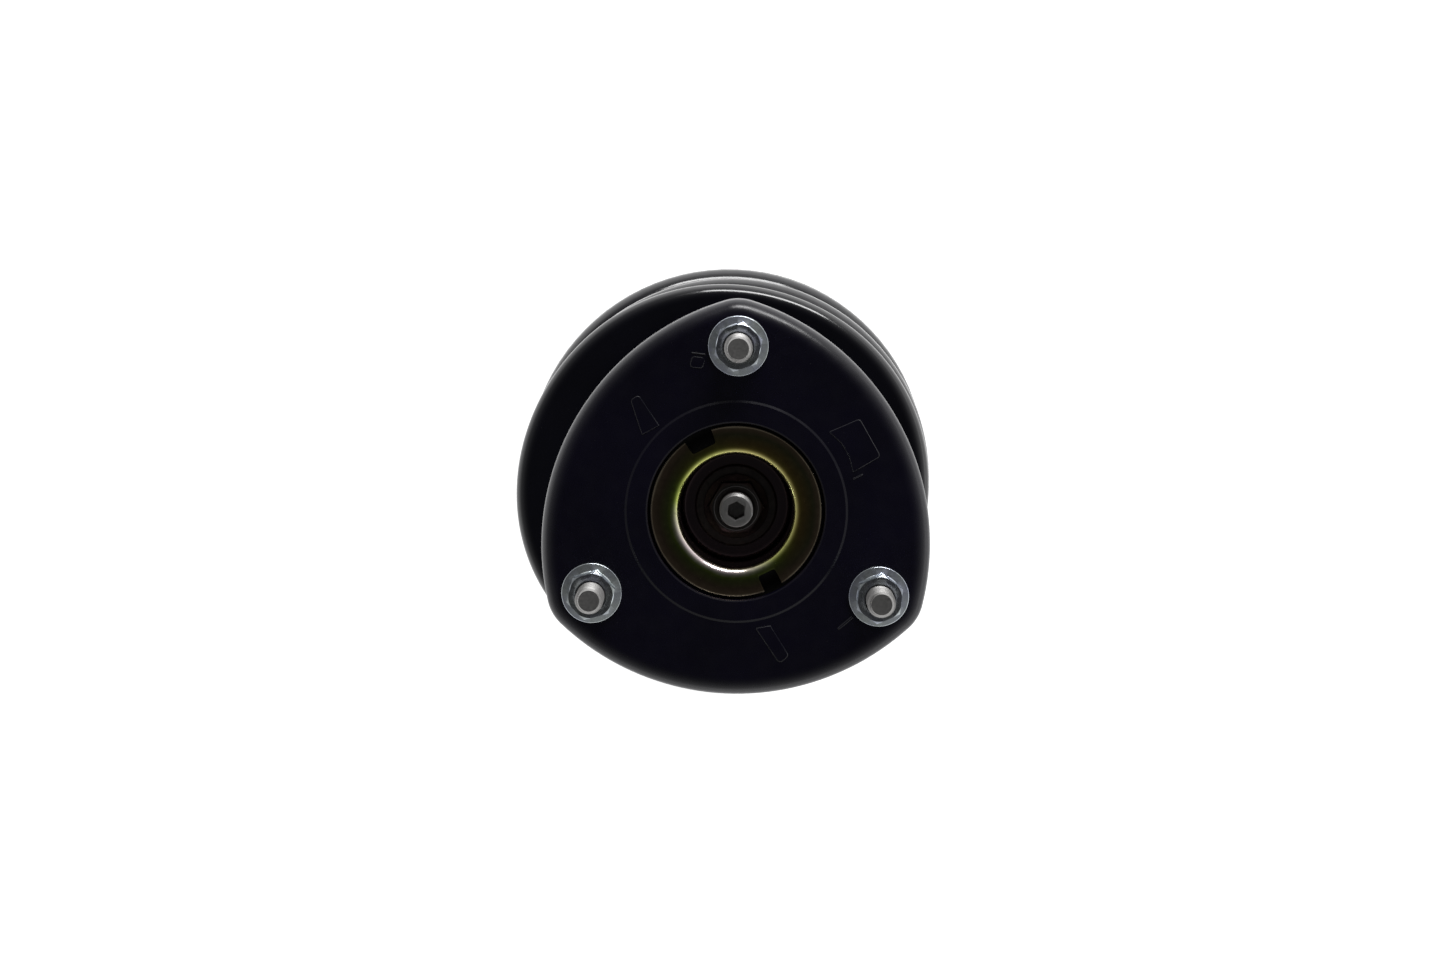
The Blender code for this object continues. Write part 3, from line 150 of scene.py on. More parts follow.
class Graph:
    """Node tree of one material, with short calls for the nodes that the finishes use."""

    def __init__(self, name: str) -> None:
        """Makes the material with its Principled shader.

        Args:
            name: Name of the material.
        """
        self.material = bpy.data.materials.new(name)
        self.material.use_nodes = True
        self.tree = self.material.node_tree
        self.shader = self.tree.nodes["Principled BSDF"]
        self.place = self.add("ShaderNodeTexCoord").outputs["Object"]

    def add(self, kind: str, **settings: object) -> bpy.types.Node:
        """Adds a node and sets its properties.

        Args:
            kind: Type of the node.
            settings: Its properties by name.

        Returns:
            The node.
        """
        node = self.tree.nodes.new(kind)
        for key, value in settings.items():
            setattr(node, key, value)
        return node

    def put(self, socket: Socket, value: Value) -> None:
        """Gives a socket a number or colour, or links another socket to it.

        Args:
            socket: Socket to set.
            value: Number, colour, vector or socket.
        """
        if isinstance(value, Socket):
            self.tree.links.new(value, socket)
        elif isinstance(value, tuple) and len(value) == 3 and socket.type == "RGBA":
            socket.default_value = (*value, 1.0)
        else:
            socket.default_value = value

    def set(self, name: str, value: Value) -> None:
        """Sets an input of the Principled shader."""
        self.put(self.shader.inputs[name], value)

    def noise(self, scale: float, detail: float) -> Socket:
        """Noise in object space.

        Args:
            scale: Cells per metre.
            detail: Octaves.

        Returns:
            The socket with values from 0 to 1.
        """
        node = self.add("ShaderNodeTexNoise")
        self.put(node.inputs["Vector"], self.place)
        self.put(node.inputs["Scale"], scale)
        self.put(node.inputs["Detail"], detail)
        return node.outputs["Fac"]

    def cells(self, scale: float) -> Socket:
        """Distance to the nearest point of a Voronoi pattern in object space.

        Args:
            scale: Cells per metre.

        Returns:
            The distance socket.
        """
        node = self.add("ShaderNodeTexVoronoi", feature="F1")
        self.put(node.inputs["Vector"], self.place)
        self.put(node.inputs["Scale"], scale)
        return node.outputs["Distance"]

    def spread(
        self, value: Value, low: float, high: float, to_low: float = 0.0, to_high: float = 1.0,
    ) -> Socket:
        """Maps a range of a value to another range, clamped.

        Args:
            value: What is mapped.
            low: Value that gives to_low.
            high: Value that gives to_high.
            to_low: Result at the low end.
            to_high: Result at the high end.

        Returns:
            The result socket.
        """
        node = self.add("ShaderNodeMapRange", clamp=True)
        for name, number in zip(
            ("Value", "From Min", "From Max", "To Min", "To Max"),
            (value, low, high, to_low, to_high),
        ):
            self.put(node.inputs[name], number)
        return node.outputs["Result"]

    def ramp(self, value: Value, stops: Iterable[tuple[float, Colour]]) -> Socket:
        """Colours along a value.

        Args:
            value: Socket that runs from 0 to 1.
            stops: Pairs of position and colour, in order.

        Returns:
            The colour socket.
        """
        node = self.add("ShaderNodeValToRGB")
        elements = node.color_ramp.elements
        stops = list(stops)
        while len(elements) < len(stops):
            elements.new(0.5)
        for element, (position, colour) in zip(elements, stops):
            element.position = position
            element.color = (*colour, 1.0)
        self.put(node.inputs["Fac"], value)
        return node.outputs["Color"]

    def mix(self, share: Value, one: Value, other: Value) -> Socket:
        """Mixes two colours by a share.

        Args:
            share: 0 for the first colour, 1 for the second.
            one: First colour.
            other: Second colour.

        Returns:
            The colour socket.
        """
        node = self.add("ShaderNodeMix", data_type="RGBA")
        self.put(node.inputs["Factor"], share)
        first, second = [socket for socket in node.inputs if socket.type == "RGBA"]
        self.put(first, one)
        self.put(second, other)
        return next(socket for socket in node.outputs if socket.type == "RGBA")

    def maths(self, operation: str, one: Value, other: Value) -> Socket:
        """One arithmetic step.

        Args:
            operation: Name of the step.
            one: First number.
            other: Second number.

        Returns:
            The result socket.
        """
        node = self.add("ShaderNodeMath", operation=operation)
        self.put(node.inputs[0], one)
        self.put(node.inputs[1], other)
        return node.outputs[0]

    def bump(self, height: Socket, depth: float, strength: float, below: Socket | None = None) -> Socket:
        """Bump from a height.

        Args:
            height: Socket with values from 0 to 1.
            depth: Depth in metres of the full range.
            strength: Share of it that shows.
            below: Normal of a coarser bump under this one.

        Returns:
            The normal socket.
        """
        node = self.add("ShaderNodeBump")
        self.put(node.inputs["Height"], height)
        self.put(node.inputs["Distance"], depth)
        self.put(node.inputs["Strength"], strength)
        if below is not None:
            self.put(node.inputs["Normal"], below)
        return node.outputs["Normal"]

    def along(self, azimuth_deg: float) -> Socket:
        """Distance of a point from the axis in one horizontal direction, in metres.

        Args:
            azimuth_deg: The direction, from +X.

        Returns:
            The distance socket.
        """
        node = self.add("ShaderNodeVectorMath", operation="DOT_PRODUCT")
        self.put(node.inputs[0], self.place)
        self.put(node.inputs[1], polar(1.0, math.radians(azimuth_deg)).to_3d())
        return node.outputs["Value"]

    def distance_from_axis(self) -> Socket:
        """Distance of a point from the strut's axis, in metres.

        Returns:
            The distance socket.
        """
        flat = self.add("ShaderNodeVectorMath", operation="MULTIPLY")
        self.put(flat.inputs[0], self.place)
        self.put(flat.inputs[1], (1.0, 1.0, 0.0))
        length = self.add("ShaderNodeVectorMath", operation="LENGTH")
        self.put(length.inputs[0], flat.outputs["Vector"])
        return length.outputs["Value"]


@dataclass(frozen=True)
class Coating:
    """Black coat on steel: a faint orange peel, uneven gloss and a few specks of dust."""

    name: str
    slot: Slot
    colour: Colour
    dust: Colour
    roughness: float
    unevenness: float
    peel_scale: float
    peel_depth: float
    coat: float = 0.0
    coat_roughness: float = 0.1

    def material(self) -> bpy.types.Material:
        """Builds the material.

        Returns:
            The material.
        """
        g = Graph(self.name)
        cloud = g.noise(28.0, 4.0)
        tone = g.mix(g.spread(cloud, 0.35, 0.75), self.colour, tuple(1.7 * c for c in self.colour))
        speck = g.spread(g.cells(420.0), 0.035, 0.075, 1.0, 0.0)
        patch = g.spread(g.noise(60.0, 2.0), 0.56, 0.66)
        g.set("Base Color", g.mix(g.maths("MULTIPLY", speck, patch), tone, self.dust))
        streak = g.noise(160.0, 5.0)
        low, high = self.roughness - self.unevenness, self.roughness + self.unevenness
        g.set("Roughness", g.spread(streak, 0.3, 0.7, low, high))
        g.set("IOR", 1.5)
        g.set("Coat Weight", self.coat)
        g.set("Coat Roughness", self.coat_roughness)
        wave = g.bump(g.noise(self.peel_scale / 6, 2.0), self.peel_depth * 4, 0.5)
        g.set("Normal", g.bump(g.noise(self.peel_scale, 2.0), self.peel_depth, 0.6, wave))
        return g.material


@dataclass(frozen=True)
class Plating:
    """Plated or bare metal: cloudy tint, tool marks and fine scratches."""

    name: str
    slot: Slot
    colour: Colour
    tint: Colour
    roughness: float
    unevenness: float
    mark_scale: float
    mark_depth: float

    def material(self) -> bpy.types.Material:
        """Builds the material.

        Returns:
            The material.
        """
        g = Graph(self.name)
        cloud = g.spread(g.noise(140.0, 3.0), 0.35, 0.68)
        stain = g.spread(g.noise(520.0, 5.0), 0.52, 0.8)
        tone = g.mix(cloud, self.colour, self.tint)
        g.set("Base Color", g.mix(stain, tone, tuple(0.82 * c for c in self.colour)))
        g.set("Metallic", 1.0)
        marks = g.noise(self.mark_scale, 4.0)
        low, high = self.roughness - self.unevenness, self.roughness + self.unevenness
        g.set("Roughness", g.spread(marks, 0.3, 0.7, low, high))
        g.set("Normal", g.bump(marks, self.mark_depth, 0.7))
        return g.material


@dataclass(frozen=True)
class Chromate:
    """Yellow chromate over zinc: olive on the flange, green-gold on the bend, plum in the bowl, with a painted
    pale highlight on the bend on one side and a painted gold reflection tint on the side facing the gold azimuth.
    """

    name: str
    slot: Slot
    outer_radius: float
    stops: tuple[tuple[float, Colour], ...]
    # Colours of a painted gold reflection tint, used on the side that faces the gold azimuth.
    painted_gold_stops: tuple[tuple[float, Colour], ...]
    painted_gold_azimuth_deg: float
    # Colour and direction of a painted highlight: the key light's reflection on the bend, laid into the base
    # colour.
    painted_highlight: Colour
    painted_highlight_azimuth_deg: float
    roughness: float

    def material(self) -> bpy.types.Material:
        """Builds the material.

        Returns:
            The material.
        """
        g = Graph(self.name)
        wander = g.spread(g.noise(60.0, 2.0), 0.3, 0.7, -0.012, 0.012)
        share = g.maths("ADD", g.maths("DIVIDE", g.distance_from_axis(), self.outer_radius), wander)
        reach = self.outer_radius / 2
        drift = g.spread(g.noise(45.0, 2.0), 0.3, 0.7, -reach / 2, reach / 2)
        # Painted reflection: the ramp turns gold on the side facing this azimuth.
        painted_gold_share = g.spread(g.maths("ADD", g.along(self.painted_gold_azimuth_deg), drift), -reach / 2, reach)
        tone = g.mix(painted_gold_share, g.ramp(share, self.stops), g.ramp(share, self.painted_gold_stops))
        # Painted highlight: a pale patch on the bend, on the side where the key light's reflection falls.
        bend = g.maths("MULTIPLY", g.spread(share, 0.66, 0.69), g.spread(share, 0.72, 0.77, 1.0, 0.0))
        painted_highlight_share = g.maths("MULTIPLY", bend, g.spread(g.along(self.painted_highlight_azimuth_deg), reach / 2, 1.3 * reach))
        tone = g.mix(painted_highlight_share, tone, self.painted_highlight)
        stain = g.spread(g.noise(420.0, 4.0), 0.62, 0.80, 0.0, 0.5)
        g.set("Base Color", g.mix(stain, tone, (0.12, 0.09, 0.05)))
        g.set("Metallic", 1.0)
        fine = g.noise(500.0, 3.0)
        g.set("Roughness", g.spread(fine, 0.3, 0.7, self.roughness - 0.04, self.roughness + 0.05))
        g.set("Normal", g.bump(g.noise(90.0, 2.0), 0.0002, 0.15))
        return g.material


@dataclass(frozen=True)
class Moulded:
    """Moulded rubber, plastic or foam: grain of its own size over a dull, dusty skin."""

    name: str
    slot: Slot
    colour: Colour
    bloom: Colour
    roughness: float
    grain_scale: float
    grain_depth: float
    cellular: bool = False

    def material(self) -> bpy.types.Material:
        """Builds the material.

        Returns:
            The material.
        """
        g = Graph(self.name)
        g.set("Base Color", g.mix(g.spread(g.noise(35.0, 5.0), 0.4, 0.75), self.colour, self.bloom))
        skin = g.noise(self.grain_scale, 4.0)
        g.set("Roughness", g.spread(skin, 0.3, 0.7, self.roughness - 0.08, self.roughness + 0.08))
        g.set("IOR", 1.48)
        grain = g.cells(self.grain_scale) if self.cellular else skin
        g.set("Normal", g.bump(grain, self.grain_depth, 0.8))
        return g.material


Finish = Coating | Plating | Chromate | Moulded


class Finishes:
    """All finishes of the strut, each made into a material the first time it is asked for."""

    SATIN = Coating(
        "satin_black_coat", Slot.BLACK_COAT, (0.0018, 0.0013, 0.0060), (0.035, 0.035, 0.038),
        0.27, 0.03, 1500.0, 0.000012,
    )
    GLOSS = Coating(
        "gloss_black_paint", Slot.BLACK_COAT, (0.0018, 0.0018, 0.0040), (0.030, 0.030, 0.034),
        0.17, 0.03, 1100.0, 0.000012, 0.30, 0.08,
    )
    BRIGHT = Plating(
        "bright_zinc_plate", Slot.BRIGHT_ZINC, (0.62, 0.67, 0.67), (0.50, 0.53, 0.64),
        0.22, 0.04, 700.0, 0.000008,
    )
    # Steel darkened to paint the shade at the bottom of the cup, where the rod's washer and nut sit.
    SHADE_DARK_STEEL = Plating(
        "shade_darkened_steel", Slot.STEEL, (0.075, 0.070, 0.068), (0.110, 0.100, 0.095),
        0.38, 0.06, 1100.0, 0.00002,
    )
    STEEL = Plating(
        "machined_steel", Slot.STEEL, (0.34, 0.33, 0.33), (0.42, 0.41, 0.40),
        0.36, 0.08, 900.0, 0.00005,
    )
    STUD = Plating(
        "stud_steel", Slot.STEEL, (0.36, 0.355, 0.35), (0.29, 0.285, 0.28),
        0.48, 0.06, 1200.0, 0.00002,
    )
    CHROMATE = Chromate(
        "yellow_chromate", Slot.YELLOW_ZINC, 0.0309,
        (
            (0.00, (0.130, 0.110, 0.120)),
            (0.58, (0.110, 0.085, 0.095)),
            (0.655, (0.30, 0.20, 0.22)),
            (0.685, (0.52, 0.56, 0.16)),
            (0.74, (0.33, 0.46, 0.07)),
            (0.80, (0.17, 0.21, 0.07)),
            (0.90, (0.20, 0.15, 0.10)),
            (0.965, (0.30, 0.22, 0.15)),
            (0.985, (0.80, 0.68, 0.48)),
        ),
        # Painted gold reflection tint on the side facing the gold azimuth.
        (
            (0.00, (0.130, 0.110, 0.120)),
            (0.58, (0.110, 0.085, 0.095)),
            (0.655, (0.24, 0.15, 0.14)),
            (0.685, (0.60, 0.58, 0.24)),
            (0.74, (0.38, 0.30, 0.08)),
            (0.80, (0.26, 0.19, 0.07)),
            (0.90, (0.15, 0.15, 0.08)),
            (0.965, (0.30, 0.22, 0.15)),
            (0.985, (0.80, 0.68, 0.48)),
        ),
        # Direction of the painted gold reflection tint, then colour and direction of the painted pale highlight,
        # then roughness.
        42.0, (0.92, 0.80, 0.80), 240.0, 0.17,
    )
    RUBBER = Moulded(
        "moulded_rubber", Slot.BLACK_RUBBER, (0.010, 0.010, 0.011), (0.030, 0.029, 0.028),
        0.62, 900.0, 0.00004,
    )
    FOAM = Moulded(
        "cellular_foam", Slot.FOAM, (0.62, 0.54, 0.34), (0.72, 0.66, 0.46),
        0.85, 1400.0, 0.0003, True,
    )
    PLASTIC = Moulded(
        "moulded_plastic", Slot.PLASTIC, (0.022, 0.022, 0.025), (0.034, 0.034, 0.037),
        0.45, 1200.0, 0.00003,
    )
    CHROME = Plating(
        "hard_chrome", Slot.CHROME, (0.72, 0.73, 0.75), (0.66, 0.67, 0.70),
        0.10, 0.03, 400.0, 0.00001,
    )
    BRONZE = Plating(
        "sintered_bronze", Slot.BRONZE, (0.50, 0.33, 0.16), (0.42, 0.26, 0.12),
        0.42, 0.07, 1500.0, 0.00006,
    )

    made: ClassVar[dict[str, bpy.types.Material]] = {}

    @classmethod
    def get(cls, finish: Finish) -> bpy.types.Material:
        """Material of a finish.

        Args:
            finish: The finish.

        Returns:
            Its material, made on the first call.
        """
        if finish.name not in cls.made:
            cls.made[finish.name] = finish.material()
        return cls.made[finish.name]


# ---------------------------------------------------------------- shapes


def smooth_step(share: float) -> float:
    """Smooth step from 0 to 1."""
    share = min(max(share, 0.0), 1.0)
    return share * share * (3 - 2 * share)


def polar(radius: float, angle: float) -> Vector:
    """Point at this radius and angle."""
    return Vector((radius * math.cos(angle), radius * math.sin(angle)))


def arc(centre: Sequence[float], radius: float, start: float, end: float, steps: int) -> list[Vector]:
    """Points of an arc, both ends included."""
    turn = (end - start) / steps
    return [Vector(centre) + polar(radius, start + turn * step) for step in range(steps + 1)]


def rounded(corners: Sequence[Sequence[float]]) -> list[Vector]:
    """Closed outline through corners.

    Args:
        corners: Each (u, v), or (u, v, radius of its rounding).

    Returns:
        Points of the outline.
    """
    outline: list[Vector] = []
    for index, (u, v, *radius) in enumerate(corners):
        here = Vector((u, v))
        if not radius:
            outline.append(here)
            continue
        before = (Vector(corners[index - 1][:2]) - here).normalized()
        after = (Vector(corners[(index + 1) % len(corners)][:2]) - here).normalized()
        half = before.angle(after) / 2
        centre = here + (before + after).normalized() * radius[0] / math.sin(half)
        start = here + before * radius[0] / math.tan(half) - centre
        sweep = math.copysign(math.pi - 2 * half, after.x * before.y - after.y * before.x)
        angle = math.atan2(start.y, start.x)
        steps = max(2, round(abs(sweep) / ARC_STEP))
        outline += arc(centre, radius[0], angle, angle + sweep, steps)
    return outline


def turned(profile: Sequence[Sequence[float]], segments: int) -> Shape:
    """Solid of revolution about Z.

    Args:
        profile: Loop of (radius, z), or a chain whose two ends are on the axis.
        segments: Steps round the axis.

    Returns:
        The closed shape.
    """
    bm = bmesh.new()
    verts = [bm.verts.new((radius, 0, z)) for radius, z in profile]
    edges = [bm.edges.new(pair) for pair in zip(verts, verts[1:])]
    if profile[0][0] > WELD_DISTANCE:
        edges.append(bm.edges.new((verts[-1], verts[0])))
    bmesh.ops.spin(
        bm, geom=verts + edges, cent=(0, 0, 0), axis=(0, 0, 1),
        angle=math.tau, steps=segments, use_merge=True,
    )
    return closed(bm)


def closed(bm: Shape) -> Shape:
    """Merges doubles and turns the faces outwards.

    Args:
        bm: Shape to close.

    Returns:
        The same shape.
    """
    bmesh.ops.remove_doubles(bm, verts=bm.verts, dist=WELD_DISTANCE)
    bmesh.ops.recalc_face_normals(bm, faces=bm.faces)
    return bm


def prism(outline: Sequence[Sequence[float]], low: float, high: float) -> Shape:
    """Outline in X and Y, extruded along Z.

    Args:
        outline: Its points.
        low: Height of the lower face.
        high: Height of the upper face.

    Returns:
        The closed shape.
    """
    bm = bmesh.new()
    face = bm.faces.new([bm.verts.new((*point, low)) for point in outline])
    top = bmesh.ops.extrude_face_region(bm, geom=[face])["geom"]
    raised = [item for item in top if isinstance(item, bmesh.types.BMVert)]
    bmesh.ops.translate(bm, verts=raised, vec=(0, 0, high - low))
    bmesh.ops.recalc_face_normals(bm, faces=bm.faces)
    return bm


def bevelled(bm: Shape, offset: float, segments: int, chosen: EdgeTest) -> Shape:
    """Rounds the chosen edges.

    Args:
        bm: Shape to round.
        offset: Width of the rounding from the edge, in metres.
        segments: Steps across it.
        chosen: Says whether an edge is rounded.

    Returns:
        The same shape.
    """
    edges = [edge for edge in bm.edges if len(edge.link_faces) == 2 and chosen(edge)]
    bmesh.ops.bevel(
        bm, geom=edges, offset=offset, offset_type="OFFSET", affect="EDGES",
        segments=segments, profile=0.5, material=-1, clamp_overlap=True,
    )
    return bm


def sharper_than(degrees: float) -> EdgeTest:
    """Test for edges whose two faces meet at more than this angle."""
    limit = math.radians(degrees)
    return lambda edge: edge.calc_face_angle(0.0) > limit


def at_height(z: float) -> EdgeTest:
    """Test for edges that lie in the plane at this height."""
    return lambda edge: all(abs(vert.co.z - z) < WELD_DISTANCE for vert in edge.verts)


def drill(radius: float, low: float, high: float, sides: int = COARSE) -> Shape:
    """Straight cylinder on the axis.

    Args:
        radius: Its radius.
        low: Height of its lower face.
        high: Height of its upper face.
        sides: Steps round it.

    Returns:
        The closed shape.
    """
    bm = bmesh.new()
    bmesh.ops.create_cone(
        bm, cap_ends=True, segments=sides, radius1=radius, radius2=radius,
        depth=high - low, matrix=Matrix.Translation((0, 0, (low + high) / 2)),
    )
    return bm


def moved(bm: Shape, at: Sequence[float] = (0, 0, 0), turn: float = 0.0) -> Shape:
    """Turns a shape about Z and moves it.

    Args:
        bm: Shape to move.
        at: Where its origin goes.
        turn: Angle in radians.

    Returns:
        The same shape.
    """
    matrix = Matrix.Translation(Vector(at).to_3d()) @ Matrix.Rotation(turn, 4, "Z")
    bmesh.ops.transform(bm, matrix=matrix, verts=bm.verts)
    return bm


def helper(bm: Shape) -> bpy.types.Object:
    """Short-lived object with this shape.

    Args:
        bm: The shape; it is used up.

    Returns:
        The object.
    """
    mesh = bpy.data.meshes.new("helper")
    bm.to_mesh(mesh)
    bm.free()
    made = bpy.data.objects.new("helper", mesh)
    bpy.context.scene.collection.objects.link(made)
    return made


def evaluated(source: bpy.types.Object) -> Shape:
    """Final shape of an object, which is then removed.

    Args:
        source: Mesh or curve object.

    Returns:
        Its evaluated shape.
    """
    graph = bpy.context.evaluated_depsgraph_get()
    mesh = bpy.data.meshes.new_from_object(source.evaluated_get(graph))
    bm = bmesh.new()
    bm.from_mesh(mesh)
    bpy.data.meshes.remove(mesh)
    data = source.data
    bpy.data.objects.remove(source)
    (bpy.data.curves if isinstance(data, bpy.types.Curve) else bpy.data.meshes).remove(data)
    return bm


def combined(bm: Shape, other: Shape, cut: Cut) -> Shape:
    """Joins, cuts or intersects two closed shapes.

    Args:
        bm: First shape; it is used up.
        other: Second shape; it is used up.
        cut: What to do with the second shape.

    Returns:
        The new shape.
    """
    body, tool = helper(bm), helper(other)
    modifier = body.modifiers.new("cut", "BOOLEAN")
    modifier.operation = cut.value
    modifier.solver = "EXACT"
    modifier.object = tool
    result = evaluated(body)
    mesh = tool.data
    bpy.data.objects.remove(tool)
    bpy.data.meshes.remove(mesh)
    bmesh.ops.remove_doubles(result, verts=result.verts, dist=WELD_DISTANCE)
    return result


def without(bm: Shape, *cutters: Shape) -> Shape:
    """Cuts shapes away, one after another.

    Args:
        bm: Shape to cut; it is used up.
        cutters: What is cut away; they are used up.

    Returns:
        The new shape.
    """
    for cutter in cutters:
        bm = combined(bm, cutter, Cut.REMOVE)
    return bm


def joined(bm: Shape, *others: Shape) -> Shape:
    """Joins shapes that overlap, one after another.

    Args:
        bm: First shape; it is used up.
        others: The rest; they are used up.

    Returns:
        The new shape.
    """
    for other in others:
        bm = combined(bm, other, Cut.JOIN)
    return bm


def together(shapes: Iterable[Shape]) -> Shape:
    """Puts separate shapes in one mesh.

    Args:
        shapes: The shapes; they are used up.

    Returns:
        All of them as one shape.
    """
    result = bmesh.new()
    for bm in shapes:
        mesh = bpy.data.meshes.new("helper")
        bm.to_mesh(mesh)
        bm.free()
        result.from_mesh(mesh)
        bpy.data.meshes.remove(mesh)
    return result


def swept(points: Sequence[Vector], radius: float, resolution: int, swell: Callable[[int], float]) -> Shape:
    """Round bar along points.

    Args:
        points: Centre line.
        radius: Radius of the bar.
        resolution: Extra points on each quarter of its section.
        swell: Factor on the radius at each point.

    Returns:
        The closed shape.
    """
    curve = bpy.data.curves.new("helper", "CURVE")
    curve.dimensions = "3D"
    curve.bevel_depth = radius
    curve.bevel_resolution = resolution
    curve.use_fill_caps = True
    curve.twist_mode = "Z_UP"
    spline = curve.splines.new("POLY")
    spline.points.add(len(points) - 1)
    for index, (target, point) in enumerate(zip(spline.points, points)):
        target.co = (*point, 1.0)
        target.radius = swell(index)
    made = bpy.data.objects.new("helper", curve)
    bpy.context.scene.collection.objects.link(made)
    return closed(evaluated(made))


def thread(
    radius: float, pitch: float, low: float, high: float, tip_radius: float, tip_length: float,
) -> Shape:
    """Right-hand screw thread with a tapered tip at its top.

    Args:
        radius: Radius over the crests.
        pitch: Distance between crests.
        low: Height of the lower end.
        high: Height of the tip.
        tip_radius: Radius of the tip's flat end.
        tip_length: Length of the tapered tip.

    Returns:
        The closed shape.
    """
    tooth_profile = ((0.0, 1.0), (0.06, 1.0), (0.44, 0.0), (0.56, 0.0), (0.94, 1.0))
    depth = 0.61 * pitch
    teeth = math.ceil((high - low) / pitch) + 3
    bm = bmesh.new()
    verts = [
        bm.verts.new((radius - depth * sunk, 0, low + pitch * (tooth - 2 + share)))
        for tooth in range(teeth)
        for share, sunk in tooth_profile
    ]
    edges = [bm.edges.new(pair) for pair in zip(verts, verts[1:])]
    bmesh.ops.spin(
        bm, geom=verts + edges, cent=(0, 0, 0), axis=(0, 0, 1), dvec=(0, 0, pitch / COARSE),
        angle=math.tau, steps=COARSE, use_merge=False,
    )
    bmesh.ops.remove_doubles(bm, verts=bm.verts, dist=WELD_DISTANCE)
    for z, normal, is_end in (
        (high - tip_length / 2, 1, False), (high - tip_length, 1, False), (low, -1, True), (high, 1, True),
    ):
        cut = bmesh.ops.bisect_plane(
            bm, geom=bm.verts[:] + bm.edges[:] + bm.faces[:],
            plane_co=(0, 0, z), plane_no=(0, 0, normal), clear_outer=is_end,
        )["geom_cut"]
        if is_end:
            rim = [item for item in cut if isinstance(item, bmesh.types.BMEdge)]
            bmesh.ops.contextual_create(bm, geom=rim)
    for vert in bm.verts:
        limit = tip_radius + (radius - tip_radius) * (high - vert.co.z) / tip_length
        if vert.co.xy.length > limit:
            vert.co.xy *= limit / vert.co.xy.length
    return closed(bm)


def hexagon(across_flats: float, low: float, high: float, turn: float = 0.0) -> Shape:
    """Hexagonal bar with a corner at this angle.

    Args:
        across_flats: Width across flats.
        low: Height of its lower face.
        high: Height of its upper face.
        turn: Angle of a corner in radians.

    Returns:
        The closed shape.
    """
    bm = drill(across_flats / 2 / math.cos(math.radians(30)), low, high, 6)
    corner = math.atan2(bm.verts[:][0].co.y, bm.verts[:][0].co.x)
    return moved(bm, turn=turn - corner)


def show(
    name: str, bm: Shape, body: Body, finish: Finish, replaced: Sequence[str] = (), smooth: float = 32.0,
) -> bpy.types.Object:
    """Makes a finished piece and ties it to the frame.

    Args:
        name: Name of the piece.
        bm: Its shape, in the row frame; it is used up.
        body: Body that it rides on.
        finish: Its finish.
        replaced: Nodes of the frame that it stands for.
        smooth: Angle in degrees above which an edge stays sharp.

    Returns:
        The object.
    """
    mesh = bpy.data.meshes.new(name)
    bm.to_mesh(mesh)
    bm.free()
    mesh.materials.append(Finishes.get(finish))
    mesh.shade_smooth()
    mesh.set_sharp_from_angle(angle=math.radians(smooth))
    piece = bpy.data.objects.new(name, mesh)
    bpy.context.scene.collection.objects.link(piece)
    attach(piece, body.value)
    if replaced:
        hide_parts(*replaced)
    log.info("%s: %d faces on %s", name, len(mesh.polygons), body.value)
    return piece


def low_of(node: str) -> float:
    """Lowest height of a node."""
    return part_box(node)[0].z


def high_of(node: str) -> float:
    """Highest height of a node."""
    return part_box(node)[1].z


# ---------------------------------------------------------------- top mount


